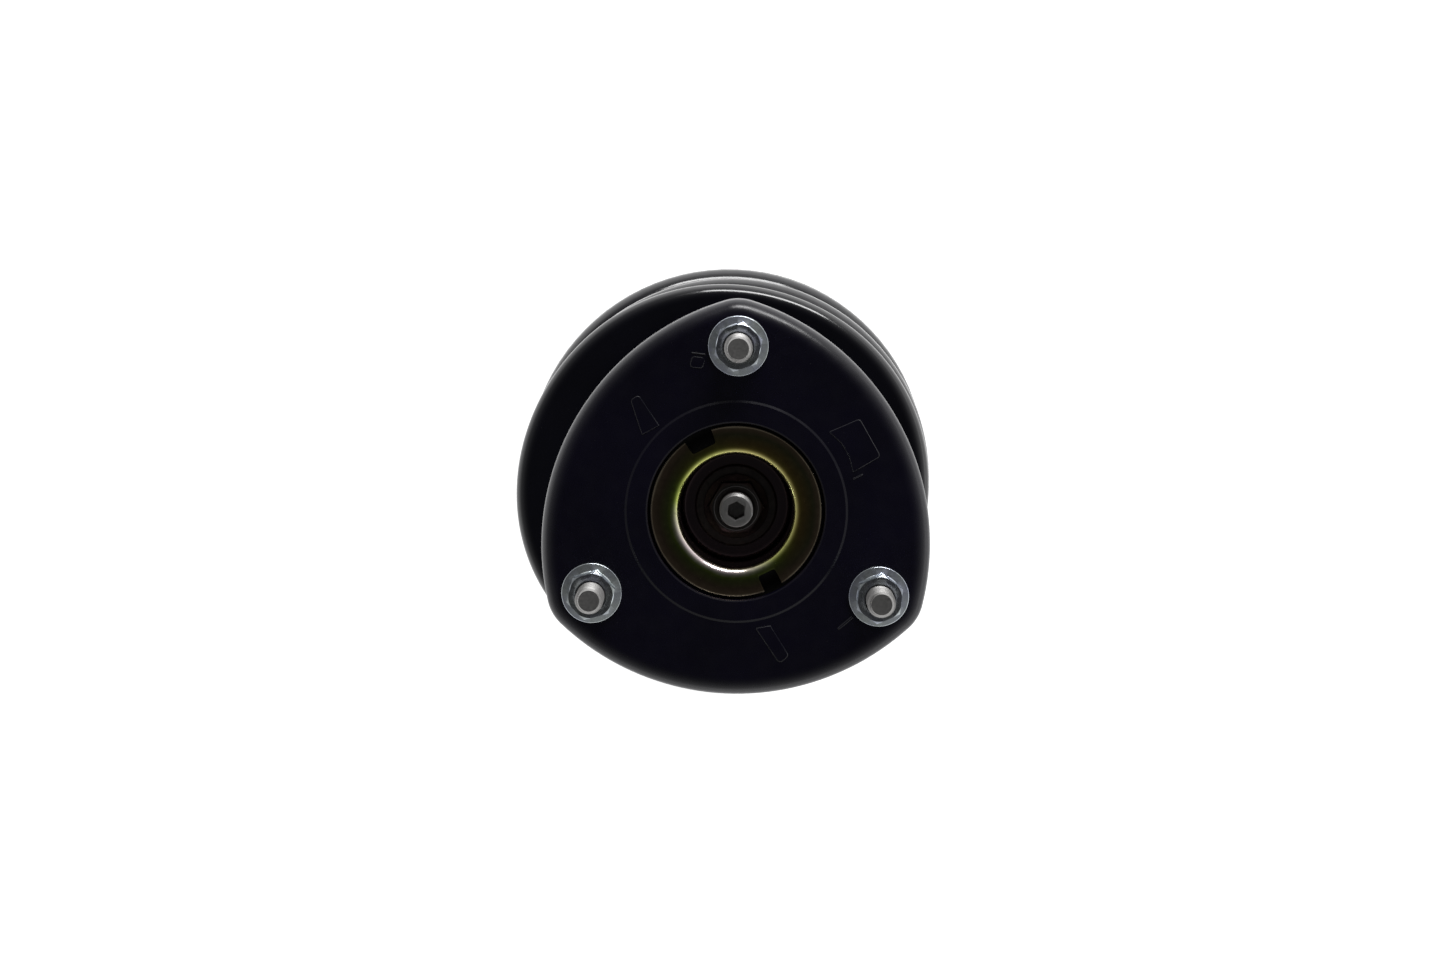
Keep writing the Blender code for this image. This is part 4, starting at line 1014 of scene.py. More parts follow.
@dataclass
class MountPlate:
    """Stamped three-cornered plate with a raised ring, shallow marks and a rolled edge."""

    stud_circle: float = 0.0594
    corner_radius: float = 0.0165
    side_radius: float = 0.0918
    roll: float = 0.0066
    roll_drop: float = 0.0055
    thickness: float = 0.003
    opening: float = 0.0318
    stud_hole: float = 0.0053
    ring_radius: float = 0.0396
    ring_height: float = 0.00035
    mark_height: float = 0.00028
    studs: int = 3
    arc_steps: tuple[int, int] = (20, 44)
    pads: tuple[tuple[tuple[float, ...], ...], ...] = (
        # corners in millimetres, each (x, y) or (x, y, rounding)
        (
            (32.7, 29.1, 0.3), (37.2, 25.1), (40.0, 20.4), (41.6, 14.7, 0.3),
            (51.4, 20.6, 1.3), (43.7, 34.0, 1.3),
        ),
        ((7.4, -41.8, 0.3), (16.2, -54.6, 1.4), (19.6, -51.6, 1.4), (12.8, -40.8, 0.3)),
        ((-38.2, 39.6, 1.3), (-34.0, 27.2, 0.3), (-27.8, 30.6, 0.3), (-35.4, 41.6, 1.3)),
        ((-17.4, 51.6, 1.2), (-12.6, 51.2, 1.2), (-11.6, 55.0, 1.2), (-16.4, 55.6, 1.2)),
        ((-16.6, 57.0), (-16.5, 56.5), (-11.6, 55.9), (-11.7, 56.4)),
        ((41.5, 12.6), (41.8, 12.1), (45.2, 13.8), (44.9, 14.3)),
        ((36.8, -41.4), (37.4, -42.0), (42.5, -37.6), (41.9, -37.0)),
    )

    def stud_angles(self) -> list[float]:
        """Angles of the studs, the first one on +Y."""
        return [math.radians(90) + math.tau * index / self.studs for index in range(self.studs)]

    def outline(self, inset: float) -> list[Vector]:
        """Arcs round the studs joined by tangent side arcs, all moved in by the inset.

        Args:
            inset: Distance inside the plate's edge.

        Returns:
            Points of the outline.
        """
        half_step = math.pi / self.studs
        half_side = self.stud_circle * math.sin(half_step)
        reach = math.sqrt((self.side_radius - self.corner_radius) ** 2 - half_side**2)
        centre = reach - self.stud_circle * math.cos(half_step)
        side_half = math.atan2(half_side, reach)
        corner_half = half_step - side_half
        points: list[Vector] = []
        for angle in self.stud_angles():
            side = angle + half_step
            for place, radius, middle, half, steps in (
                (polar(self.stud_circle, angle), self.corner_radius, angle, corner_half, self.arc_steps[0]),
                (polar(-centre, side), self.side_radius, side, side_half, self.arc_steps[1]),
            ):
                points += arc(place, radius - inset, middle - half, middle + half, steps)[:-1]
        return points

    def skin(self, inset: float, low: float, steps: int) -> Shape:
        """Solid under one skin of the plate, its top edge rolled to a quarter of an ellipse.

        Args:
            inset: Distance of the skin inside the outer one.
            low: Height of the lower end.
            steps: Steps across the roll.

        Returns:
            The closed shape.
        """
        roll, flatness = self.roll - inset, (self.roll_drop - inset) / (self.roll - inset)
        bm = prism(self.outline(inset), (low + inset) / flatness - inset, -inset)
        bevelled(bm, roll, steps, at_height(-inset))
        for vert in bm.verts:
            vert.co.z = (vert.co.z + inset) * flatness - inset
        top = max(bm.faces, key=lambda face: face.calc_center_median().z)
        bmesh.ops.inset_region(bm, faces=[top], thickness=HAIRLINE, use_even_offset=True)
        return bm

    def marks(self) -> Iterable[Shape]:
        """Shallow raised pads round the ring, and short bars.

        Returns:
            Each mark as a closed shape.
        """
        for corners in self.pads:
            outline = rounded([tuple(value / 1000 for value in corner) for corner in corners])
            pad = prism(outline, -SUNK, self.mark_height)
            yield bevelled(pad, self.mark_height * 0.7, 1, at_height(self.mark_height))

    def build(self) -> None:
        """Builds the plate."""
        bottom = low_of("mount_plate")
        plate = bevelled(self.skin(0.0, bottom, 14), EDGE, 2, at_height(bottom))
        plate = without(plate, self.skin(self.thickness, bottom - self.thickness, 8))
        top, slope = self.ring_height, THIN_EDGE
        ring = turned(
            [(0, -SUNK), (self.ring_radius + slope, -SUNK), (self.ring_radius + slope, 0),
             (self.ring_radius - slope, top), (0, top)], FINE,
        )
        plate = joined(plate, ring, *self.marks())
        lip, sunk_lip = EDGE, 0.3 * EDGE
        opening = turned(
            [(0, 2 * bottom), (self.opening, 2 * bottom), (self.opening, top - lip),
             (self.opening + sunk_lip, top - sunk_lip), (self.opening + lip, top),
             (self.opening + lip, PAST), (0, PAST)], FINE,
        )
        places = [polar(self.stud_circle, angle) for angle in self.stud_angles()]
        holes = [moved(drill(self.stud_hole, 2 * bottom, PAST), place) for place in places]
        plate = without(plate, opening, *holes)
        show("mount_plate_skin", plate, Body.TOP_MOUNT, Finishes.SATIN, ["mount_plate"], 15.0)


@dataclass
class StudsAndNuts:
    """Three threaded studs, each with its flange nut."""

    plate: MountPlate
    radius: float = 0.005
    pitch: float = 0.0015
    tip_radius: float = 0.0037
    tip_length: float = 0.0016
    head_radius: float = 0.0075
    across_flats: float = 0.0154
    nut_height: float = 0.010
    flange_radius: float = 0.0108
    flange_edge: float = 0.0016
    flange_top: float = 0.0025
    flange_root: float = 0.0034
    thread_low: float = 0.0055
    chamfer: float = math.radians(28)
    edge: float = THIN_EDGE
    turns_deg: tuple[float, float, float] = (18.7, 15.7, 24.2)

    def stud(self) -> Shape:
        """Stud with its head under the plate.

        Returns:
            The stud on the axis.
        """
        top = high_of("mount_stud_1")
        head_top = -self.plate.thickness - CLEARANCE
        bottom = low_of("mount_stud_1")
        shank_top = self.thread_low + 0.0005
        shank = turned(rounded([
            (0, bottom), (self.head_radius, bottom, SOFT_EDGE), (self.head_radius, head_top, EDGE),
            (self.radius, head_top), (self.radius, shank_top), (0, shank_top),
        ]), COARSE)
        screw = thread(self.radius, self.pitch, self.thread_low, top, self.tip_radius, self.tip_length)
        return together([shank, screw])

    def nut(self) -> Shape:
        """Flange nut on the plate's face.

        Returns:
            The nut on the axis.
        """
        top = CLEARANCE + self.nut_height
        inner = self.across_flats / 2
        corner = inner / math.cos(math.radians(30))
        wide, crown = 1.1 * corner, 1.03 * inner
        limit = turned([
            (0, 0), (wide, 0), (wide, top - math.tan(self.chamfer) * (wide - crown)),
            (crown, top), (0, top),
        ], FINE)
        hexagonal = combined(hexagon(self.across_flats, SUNK + 0.0002, top), limit, Cut.KEEP_COMMON)
        flange = turned(rounded([
            (0, CLEARANCE), (self.flange_radius, CLEARANCE, HAIRLINE),
            (self.flange_radius, self.flange_edge, THIN_EDGE),
            (inner + HAIRLINE, self.flange_top, THIN_EDGE),
            (inner - EDGE, self.flange_root), (0, self.flange_root),
        ]), FINE)
        bore, countersink = self.radius + 0.0001, self.radius + 0.0007
        hole = turned([
            (0, -SUNK), (self.radius + 0.0009, -SUNK), (bore, SOFT_EDGE), (bore, top - EDGE),
            (countersink, top),
            (countersink, top + SUNK), (0, top + SUNK),
        ], FINE)
        body = without(joined(hexagonal, flange), hole)
        return bevelled(body, self.edge, 3, sharper_than(35))

    def build(self) -> None:
        """Builds every stud and nut."""
        places = zip(self.plate.stud_angles(), self.turns_deg)
        for number, (angle, turn) in enumerate(places, 1):
            at = polar(self.plate.stud_circle, angle)
            show(
                f"threaded_stud_{number}", moved(self.stud(), at), Body.TOP_MOUNT,
                Finishes.STUD, [f"mount_stud_{number}"],
            )
            show(
                f"zinc_flange_nut_{number}", moved(self.nut(), at, math.radians(turn)), Body.TOP_MOUNT,
                Finishes.BRIGHT, [f"flange_nut_{number}"], 28.0,
            )


@dataclass
class MountCore:
    """Lower shell, bonded rubber and hub under the plate."""

    shell_radius: float = 0.040
    shell_thickness: float = 0.0025
    lip_radius: float = 0.029
    hub_radius: float = 0.0238
    hub_wall: float = 0.0014
    hub_floor: float = 0.004
    spigot: float = 0.006

    def build(self) -> None:
        """Builds the three pieces."""
        top, bottom, thick = high_of("mount_lower_shell"), low_of("mount_lower_shell"), self.shell_thickness
        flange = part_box("mount_lower_shell")[1].x
        inside = self.shell_radius - thick
        shell = turned(rounded([
            (flange, top, EDGE), (flange, top - thick, EDGE), (self.shell_radius, top - thick, 0.002),
            (self.shell_radius, bottom, WIDE_BEND), (self.lip_radius, bottom, SOFT_EDGE),
            (self.lip_radius, bottom + thick, SOFT_EDGE), (inside, bottom + thick, SMALL_BEND),
            (inside, top, MIDDLE_BEND),
        ]), FINE)
        show("shell_skin", shell, Body.TOP_MOUNT, Finishes.SATIN, ["mount_lower_shell"])
        low, high = low_of("mount_rubber"), high_of("mount_rubber")
        inner, outer = self.hub_radius + CLEARANCE, inside - CLEARANCE
        middle = (inner + outer) / 2
        rubber = turned(rounded([
            (inner, low, PLAIN_EDGE), (middle, low + 0.004, WIDE_BEND), (outer, low, PLAIN_EDGE),
            (outer, high, FULL_EDGE), (middle, high - 0.0035, WIDE_BEND), (inner, high, FULL_EDGE),
        ]), FINE)
        show("bonded_rubber", rubber, Body.TOP_MOUNT, Finishes.RUBBER, ["mount_rubber"])
        top, bottom = high_of("mount_hub"), low_of("mount_hub")
        wall = self.hub_radius - self.hub_wall
        hub = turned(rounded([
            (self.hub_radius, top, THIN_EDGE), (self.hub_radius, bottom, 0.002),
            (self.spigot + CLEARANCE, bottom),
            (self.spigot + CLEARANCE, bottom + self.hub_floor), (wall, bottom + self.hub_floor, WIDE_BEND),
            (wall, top, THIN_EDGE),
        ]), FINE)
        show("hub_cup", hub, Body.TOP_MOUNT, Finishes.STEEL, ["mount_hub"])


@dataclass
class ReboundCup:
    """Chromated dished washer with two spanner notches in its flange."""

    radius: float = 0.0203
    thickness: float = 0.0018
    bend: float = 0.0033
    spigot: float = 0.006
    notches: tuple[tuple[float, float, float, float], ...] = (
        # (angle in degrees, width at the rim, width at the root, radius of the root)
        (117.5, 0.0108, 0.0092, 0.0252),
        (-63.3, 0.0071, 0.0067, 0.0245),
    )

    def notch(self, flange: float, angle: float, rim: float, root: float, depth: float) -> Shape:
        """Cutter for one notch, wider at the rim than at its root.

        Args:
            flange: Radius of the cup's flange.
            angle: Where the notch is, in degrees.
            rim: Its width at the rim.
            root: Its width at the root.
            depth: Radius of its root.

        Returns:
            The closed cutter.
        """
        past = flange + self.thickness
        slope = (rim - root) / 2 / (flange - depth)
        outer = rim / 2 + slope * (past - flange)
        corners = [(depth, -root / 2, 0.0009), (past, -outer), (past, outer), (depth, root / 2, 0.0009)]
        top = high_of("rebound_cup")
        cutter = prism(rounded(corners), top - 2 * self.thickness, top + SUNK)
        return moved(cutter, turn=math.radians(angle))

    def build(self) -> None:
        """Builds the cup."""
        top, thick = high_of("rebound_cup"), self.thickness
        flange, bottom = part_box("rebound_cup")[1].x, low_of("rebound_cup")
        bore, outer = self.spigot + CLEARANCE, self.radius + thick
        cup = turned(rounded([
            (flange, top, SOFT_EDGE), (self.radius, top, self.bend), (self.radius, bottom + thick, 0.0022),
            (0.0150, bottom + thick, EDGE), (0.0147, bottom + thick + 0.0003, EDGE),
            (bore, bottom + thick + 0.0003), (bore, bottom),
            (outer, bottom, WIDE_BEND), (outer, top - thick, self.bend - thick),
            (flange, top - thick, THIN_EDGE),
        ]), FINE)
        cup = without(cup, *[self.notch(flange, *notch) for notch in self.notches])
        bevelled(cup, 0.0002, 2, sharper_than(60))
        show("chromated_cup", cup, Body.TOP_MOUNT, Finishes.CHROMATE, ["rebound_cup"])


@dataclass
class RodEnd:
    """Threaded end of the piston rod with its washer and nut."""

    spigot: float = 0.006
    pitch: float = 0.00125
    shank: float = 0.010
    socket: float = 0.0060
    socket_depth: float = 0.011
    socket_turn: float = math.radians(87)
    thread_length: float = 0.013
    nut_across_flats: float = 0.018
    nut_flange: float = 0.0118
    flange_edge: float = 0.0014
    flange_root: float = 0.0026
    collar: float = 0.008
    collar_height: float = 0.0022

    def build(self) -> None:
        """Builds rod, washer and nut."""
        top, bottom = high_of("piston_rod"), low_of("piston_rod")
        shoulder = low_of("mount_hub") - CLEARANCE
        lower = high_of("piston_valve_disc") + CLEARANCE
        nut_top, nut_bottom = high_of("rod_nut"), low_of("rod_nut")
        thread_low = nut_top - self.thread_length
        spigot = thread(self.spigot, self.pitch, thread_low, top, 0.0056, 0.0005)
        hole = hexagon(self.socket, top - self.socket_depth, top + SUNK, self.socket_turn)
        spigot = without(spigot, hole)
        bevelled(spigot, 0.0003, 2, at_height(top))
        shank = turned(rounded([
            (0, bottom), (self.spigot, bottom, SOFT_EDGE), (self.spigot, lower), (self.shank, lower, EDGE),
            (self.shank, shoulder, SOFT_EDGE), (self.spigot, shoulder), (self.spigot, thread_low - 0.0001),
            (0, thread_low - 0.0001),
        ]), COARSE)
        show("rod_thread", spigot, Body.TOP_MOUNT, Finishes.STUD)
        show("rod_shank", shank, Body.TOP_MOUNT, Finishes.CHROME, ["piston_rod"])
        low, high = low_of("rod_washer"), high_of("rod_washer")
        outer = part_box("rod_washer")[1].x
        bore = self.spigot + CLEARANCE
        washer = turned(rounded([
            (bore, low), (outer, low, THIN_EDGE), (outer, high, EDGE), (bore, high),
        ]), MEDIUM)
        # The washer takes steel darkened as painted shade.
        show("thick_washer", washer, Body.TOP_MOUNT, Finishes.SHADE_DARK_STEEL, ["rod_washer"])
        hex_top = nut_top - self.collar_height
        inner = self.nut_across_flats / 2
        corner, crown = 1.1 * inner / math.cos(math.radians(30)), 0.96 * inner
        limit = turned([
            (0, nut_bottom), (corner, nut_bottom), (corner, hex_top - 0.577 * (corner - crown)),
            (crown, hex_top), (0, hex_top),
        ], FINE)
        nut = combined(hexagon(self.nut_across_flats, nut_bottom + 0.0008, hex_top), limit, Cut.KEEP_COMMON)
        edge, root = nut_bottom + self.flange_edge, nut_bottom + self.flange_root
        flange = turned(rounded([
            (0, nut_bottom), (self.nut_flange, nut_bottom, HAIRLINE), (self.nut_flange, edge, THIN_EDGE),
            (inner, root), (0, root),
        ]), FINE)
        collar = turned(rounded([
            (0, hex_top - SUNK), (self.collar, hex_top - SUNK), (self.collar, nut_top, EDGE), (0, nut_top),
        ]), FINE)
        hole = drill(self.spigot + 0.0001, nut_bottom - SUNK, nut_top + SUNK, MEDIUM)
        nut = without(joined(nut, flange, collar), hole)
        bevelled(nut, 0.0002, 2, sharper_than(28))
        # The nut takes steel darkened as painted shade.
        show("collar_nut", nut, Body.TOP_MOUNT, Finishes.SHADE_DARK_STEEL, ["rod_nut"])
        near, far, low, high = self.collar - 0.0002, self.collar + 0.0001, nut_top - EDGE, nut_top + 0.0002
        lip = turned([(near, low), (far, low), (far, high), (near, high)], FINE)
        show("collar_lip", lip, Body.TOP_MOUNT, Finishes.STUD)


# ---------------------------------------------------------------- spring and its seats


@dataclass
class UpperSeat:
    """Bearing seal and stamped seat under it, whose rim isn't round."""

    waves: tuple[tuple[int, float, float], ...] = (
        # (waves in a turn, height, phase in degrees)
        (1, 0.00558, 146.5), (2, 0.00066, -1.5), (3, 0.00056, -151.6), (4, 0.00046, 105.8),
    )
    thickness: float = 0.0025
    hole: float = 0.026
    pan: float = 0.042
    step: float = 0.0084
    neck: float = 0.0125
    roll: float = 0.0052
    roll_drop: float = 0.0048
    radius: float = 0.0770
    pad_inner: float = 0.0572
    shift_start: float = 0.046
    shift_end: float = 0.064

    def rolled(self, flange: float, inset: float) -> list[Vector]:
        """Quarter of an ellipse at the rim, from the flange down to the rim.

        Args:
            flange: Height of the flange's upper face.
            inset: Distance of the skin inside the outer one.

        Returns:
            Its points.
        """
        across, down = self.roll - inset, self.roll_drop - inset
        centre = Vector((self.radius - self.roll, flange - self.roll_drop))
        turns = [math.radians(90 - 7.5 * step) for step in range(13)]
        return [centre + Vector((across * math.cos(turn), down * math.sin(turn))) for turn in turns]

    def waved(self, bm: Shape, start: float, end: float) -> Shape:
        """Gives a round shape the waves of the rim.

        Args:
            bm: Round shape on the axis.
            start: Radius at which the waves begin.
            end: Radius from which they are whole.

        Returns:
            The same shape.
        """
        for vert in bm.verts:
            angle = math.atan2(vert.co.y, vert.co.x)
            share = smooth_step((vert.co.xy.length - start) / (end - start))
            for count, height, phase in self.waves:
                vert.co.xy += polar(height * share * math.cos(count * angle - math.radians(phase)), angle)
        return bm

    def build(self) -> None:
        """Builds seat, insulator and seal."""
        top, low, thick = high_of("upper_spring_seat"), low_of("upper_spring_seat"), self.thickness
        flange, inside = top - self.step, top - self.step - thick
        step = self.pan + thick
        outer, inner = self.radius, self.radius - thick
        slopes = [0.0475 + 0.0015 * index for index in range(12)]
        seat = turned(rounded([
            (self.hole, top, SMALL_BEND), (self.pan, top, MIDDLE_BEND), (step, flange, MIDDLE_BEND),
            *[(radius, flange) for radius in slopes],
            *self.rolled(flange, 0.0), (outer, low, EDGE), (inner, low, EDGE),
            *reversed(self.rolled(flange, thick)),
            *[(radius, inside) for radius in reversed(slopes)],
            (step - thick, inside), (self.pan - thick, top - thick),
            (self.hole + thick, top - thick, SOFT_EDGE), (self.hole + thick, top - self.neck),
            (self.hole, top - self.neck),
        ]), FINE)
        self.waved(seat, self.shift_start, self.shift_end)
        show("upper_seat_skin", seat, Body.SWIVEL, Finishes.GLOSS, ["upper_spring_seat"])
        low, high = low_of("upper_insulator"), high_of("upper_insulator")
        near, far = self.pad_inner, inner - 0.002
        pad = turned(rounded([
            (near, low, FULL_EDGE), (far, low, SMALL_BEND),
            (far, high, SMALL_BEND), (near, high, FULL_EDGE),
        ]), FINE)
        show("upper_pad", self.waved(pad, 0.0, near), Body.SWIVEL, Finishes.RUBBER, ["upper_insulator"])
        low, high = low_of("bearing_seal"), high_of("bearing_seal")
        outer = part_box("bearing_seal")[1].x
        inner = outer - 0.0015
        seal = turned(rounded([
            (inner, low, HAIRLINE), (outer, low, 0.0005), (outer, high, EDGE), (inner, high, HAIRLINE),
        ]), MEDIUM)
        show("seal_ring", seal, Body.SWIVEL, Finishes.RUBBER, ["bearing_seal"])


@dataclass
class Spring:
    """Right-hand coil spring with smaller end coils."""

    wire: float = 0.0065
    radius: float = 0.0726
    top_radius: float = 0.0647
    bottom_radius: float = 0.0626
    turns: float = 5.0
    dead_turns: float = 0.7
    taper_turns: float = 1.0
    seated_turns: float = 0.75
    start_deg: float = 280.4
    top_offset: Vector = field(default_factory=lambda: Vector((-0.0044, 0.0062)))
    bottom_offset: Vector = field(default_factory=lambda: Vector((0.001, 0.0003)))
    top: float = -0.0636
    length: float = 0.281
    points_per_turn: int = 90

    def point(self, turns: float) -> Vector:
        """Centre of the wire this many turns below the top end.

        Args:
            turns: Turns from the top end.

        Returns:
            The centre.
        """
        top, bottom = self.top - self.wire, self.top - self.length + self.wire
        dead_pitch = 2 * self.wire + CLEARANCE
        dead = dead_pitch * self.dead_turns
        active = self.turns - 2 * self.dead_turns
        from_end = self.turns - turns
        if turns < self.dead_turns:
            z = top - dead_pitch * turns
        elif from_end < self.dead_turns:
            z = bottom + dead_pitch * from_end
        else:
            z = top - dead - (top - bottom - 2 * dead) * (turns - self.dead_turns) / active
        radius = self.radius
        radius -= (self.radius - self.top_radius) * (1 - smooth_step(turns / self.taper_turns))
        widened = (from_end - self.seated_turns) / self.taper_turns
        radius -= (self.radius - self.bottom_radius) * (1 - smooth_step(widened))
        centre = self.bottom_offset.lerp(self.top_offset, (z - bottom) / (top - bottom))
        across = centre + polar(radius, math.radians(self.start_deg) - math.tau * turns)
        return Vector((*across, z))

    def build(self, stroke: float) -> None:
        """Builds the coil.

        Args:
            stroke: Travel of the strut. Not used.
        """
        steps = round(self.turns * self.points_per_turn)
        line = [self.point(self.turns * step / steps) for step in range(steps + 1)]
        wire = swept(line, self.wire, 8, lambda index: 1.0)
        bevelled(wire, EDGE, 2, sharper_than(60))
        coil = show("spring_wire", wire, Body.SWIVEL, Finishes.GLOSS, ["coil_spring"])
        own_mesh(coil)


@dataclass
class LowerSeat:
    """Lower spring seat with its collar on the tube, and the pad in it."""

    thickness: float = 0.0028
    tube: float = 0.0255
    rim: float = 0.009
    rim_bend: float = 0.0055
    pad_inner: float = 0.0551
    groove: tuple[float, ...] = (0.044, 0.0475, 0.0505, 0.054)
    groove_below: tuple[float, ...] = (0.056, 0.052, 0.046, 0.042)
    groove_depth: float = 0.0016

    def build(self) -> None:
        """Builds seat and pad."""
        top = high_of("lower_spring_seat") - self.rim
        bottom, outer, thick = low_of("lower_spring_seat"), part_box("lower_spring_seat")[1].x, self.thickness
        bore = self.tube + CLEARANCE
        under = top - thick
        drops = (0.0, self.groove_depth, self.groove_depth, 0.0)
        seat = turned(rounded([
            (bore, top, SMALL_BEND),
            *[(radius, top - drop, BEND) for radius, drop in zip(self.groove, drops)],
            (outer - thick, top, BEND), (outer - thick, top + self.rim, SOFT_EDGE),
            (outer, top + self.rim, SOFT_EDGE), (outer, under, self.rim_bend),
            *[(radius, under - drop, BEND) for radius, drop in zip(self.groove_below, drops)],
            (bore + thick, under, BEND), (bore + thick, bottom, EDGE), (bore, bottom),
        ]), FINE)
        show("lower_seat_skin", seat, Body.STRUT, Finishes.SATIN, ["lower_spring_seat"])
        low, high = low_of("lower_insulator"), high_of("lower_insulator")
        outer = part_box("lower_insulator")[1].x
        pad = turned(rounded([
            (self.pad_inner, low, PLAIN_EDGE), (outer, low, FULL_EDGE),
            (outer, high, FULL_EDGE), (self.pad_inner, high, PLAIN_EDGE),
        ]), FINE)
        show("lower_pad", pad, Body.STRUT, Finishes.RUBBER, ["lower_insulator"])


@dataclass
class DustBoot:
    """Bellows boot between the upper seat and the gland cap."""

    bore: float = 0.0292
    depth: float = 0.0062
    wall: float = 0.0016
    cuff: float = 0.010
    pleats: int = 14
    fold: float = 0.0016

    def build(self, stroke: float) -> None:
        """Builds the boot.

        Args:
            stroke: Travel of the strut. Not used.
        """
        low, high = low_of("dust_boot"), high_of("dust_boot")
        first, last = high - self.cuff, low + self.cuff
        pitch = (first - last) / self.pleats
        inside: list[tuple[float, ...]] = [(self.bore, high, 0.0005)]
        for index in range(self.pleats):
            inside.append((self.bore, first - pitch * (index + 0.08), self.fold))
            inside.append((self.bore + self.depth, first - pitch * (index + 0.5), self.fold))
        inside += [(self.bore, last, self.fold), (self.bore, low, 0.0005)]
        outside = [(radius + self.wall, z, size) for radius, z, size in reversed(inside)]
        skin = turned(rounded(inside + outside), MEDIUM)
        boot = show("bellows_boot", skin, Body.SWIVEL, Finishes.RUBBER, ["dust_boot"], 60.0)
        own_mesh(boot)


# ---------------------------------------------------------------- damper and its brackets


@dataclass
class Damper:
    """Outer tube with its rolled ends, gland cap and foot."""

    radius: float = 0.0255
    wall: float = 0.0018
    gland_wall: float = 0.0022
    gland_skirt: float = 0.014
    rod_hole: float = 0.012

    def build(self) -> None:
        """Builds tube, cap and foot."""
        low, high = low_of("outer_tube"), high_of("outer_tube")
        inside = self.radius - self.wall
        tube = turned(rounded([
            (inside, low, EDGE), (self.radius, low, FULL_EDGE),
            (self.radius, high, SOFT_EDGE), (inside, high, EDGE),
        ]), MEDIUM)
        show("tube_skin", tube, Body.STRUT, Finishes.SATIN, ["outer_tube"])
        top, outer = high_of("gland_cap"), self.radius + CLEARANCE + self.gland_wall
        cap = turned(rounded([
            (self.rod_hole, top, EDGE), (self.rod_hole + 0.004, top, SOFT_EDGE),
            (self.rod_hole + 0.005, top - 0.0008, SOFT_EDGE), (outer, top - 0.0008, 0.0022),
            (outer, top - self.gland_skirt, EDGE), (self.radius + CLEARANCE, top - self.gland_skirt),
            (self.radius + CLEARANCE, top - self.gland_wall - 0.0001),
            (self.rod_hole, top - self.gland_wall - 0.0001),
        ]), MEDIUM)
        show("gland_skin", cap, Body.STRUT, Finishes.STEEL, ["gland_cap"])
        low, high = low_of("bottom_cap"), high_of("bottom_cap")
        edge = inside - CLEARANCE
        foot = turned(rounded([
            (0, low + 0.002), (0.012, low + 0.002, WIDE_BEND), (0.017, low, BEND), (edge, low, SOFT_EDGE),
            (edge, high), (0, high),
        ]), MEDIUM)
        show("foot_cap", foot, Body.STRUT, Finishes.SATIN, ["bottom_cap"])


@dataclass
class WeldBeads:
    """Rippled weld beads that join collar and brackets to the tube."""

    tube: float = 0.0255
    size: float = 0.0019
    ripple: float = 0.0022
    link_side: float = 0.0036

    def bead(self, points: list[Vector]) -> Shape:
        """Bead along points, a ripple every few of them.

        Args:
            points: Its centre line.

        Returns:
            The closed shape.
        """
        count = len(points) - 1

        def swell(index: int) -> float:
            """Ripple that tapers off at both ends.

            Args:
                index: Number of the point.

            Returns:
                Factor on the bead's radius.
            """
            ends = min(1.0, (index + 1) / 4, (count - index + 1) / 4)
            return ends * (0.86 + 0.2 * abs(math.sin(index * math.pi / 4)))

        return swept(points, self.size, 3, swell)

    def arc_points(self, radius: float, z: float, start: float, end: float) -> list[Vector]:
        """Points along an arc round the tube.

        Args:
            radius: Radius of the arc.
            z: Its height.
            start: Angle of its first point.
            end: Angle of its last point.

        Returns:
            The points.
        """
        steps = max(8, round(abs(end - start) * radius / (self.ripple / 4)))
        return [point.to_3d() + Vector((0, 0, z)) for point in arc((0, 0), radius, start, end, steps)]

    def straight_points(self, x: float, y: float, low: float, high: float) -> list[Vector]:
        """Points up the tube.

        Args:
            x: Their X.
            y: Their Y.
            low: Height of the first point.
            high: Height of the last point.

        Returns:
            The points.
        """
        steps = max(8, round((high - low) / (self.ripple / 4)))
        return [Vector((x, y, low + (high - low) * step / steps)) for step in range(steps + 1)]

    def build(self) -> None:
        """Builds all beads."""
        radius = self.tube + 0.0009
        seat, knuckle = low_of("lower_spring_seat"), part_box("knuckle_bracket")
        hose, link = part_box("hose_bracket"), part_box("stabiliser_link_bracket")
        whole = math.radians(-88), math.radians(268)
        wrap = math.radians(-42), math.radians(222)
        tab = math.radians(-35) - math.radians(26), math.radians(-35) + math.radians(26)
        arcs = [
            (radius, seat - THIN_EDGE, *whole),
            (radius + EDGE, knuckle[1].z + HAIRLINE, *wrap),
            (radius + EDGE, knuckle[0].z - HAIRLINE, *wrap),
            (radius, hose[0].z - EDGE, *tab), (radius, hose[1].z + EDGE, *tab),
        ]
        beads = [self.bead(self.arc_points(*place)) for place in arcs]
        for side in (-1, 1):
            line = self.straight_points(-radius, side * self.link_side, link[0].z + SUNK, link[1].z - SUNK)
            beads.append(self.bead(line))
        show("weld_beads", together(beads), Body.STRUT, Finishes.SATIN, smooth=50.0)


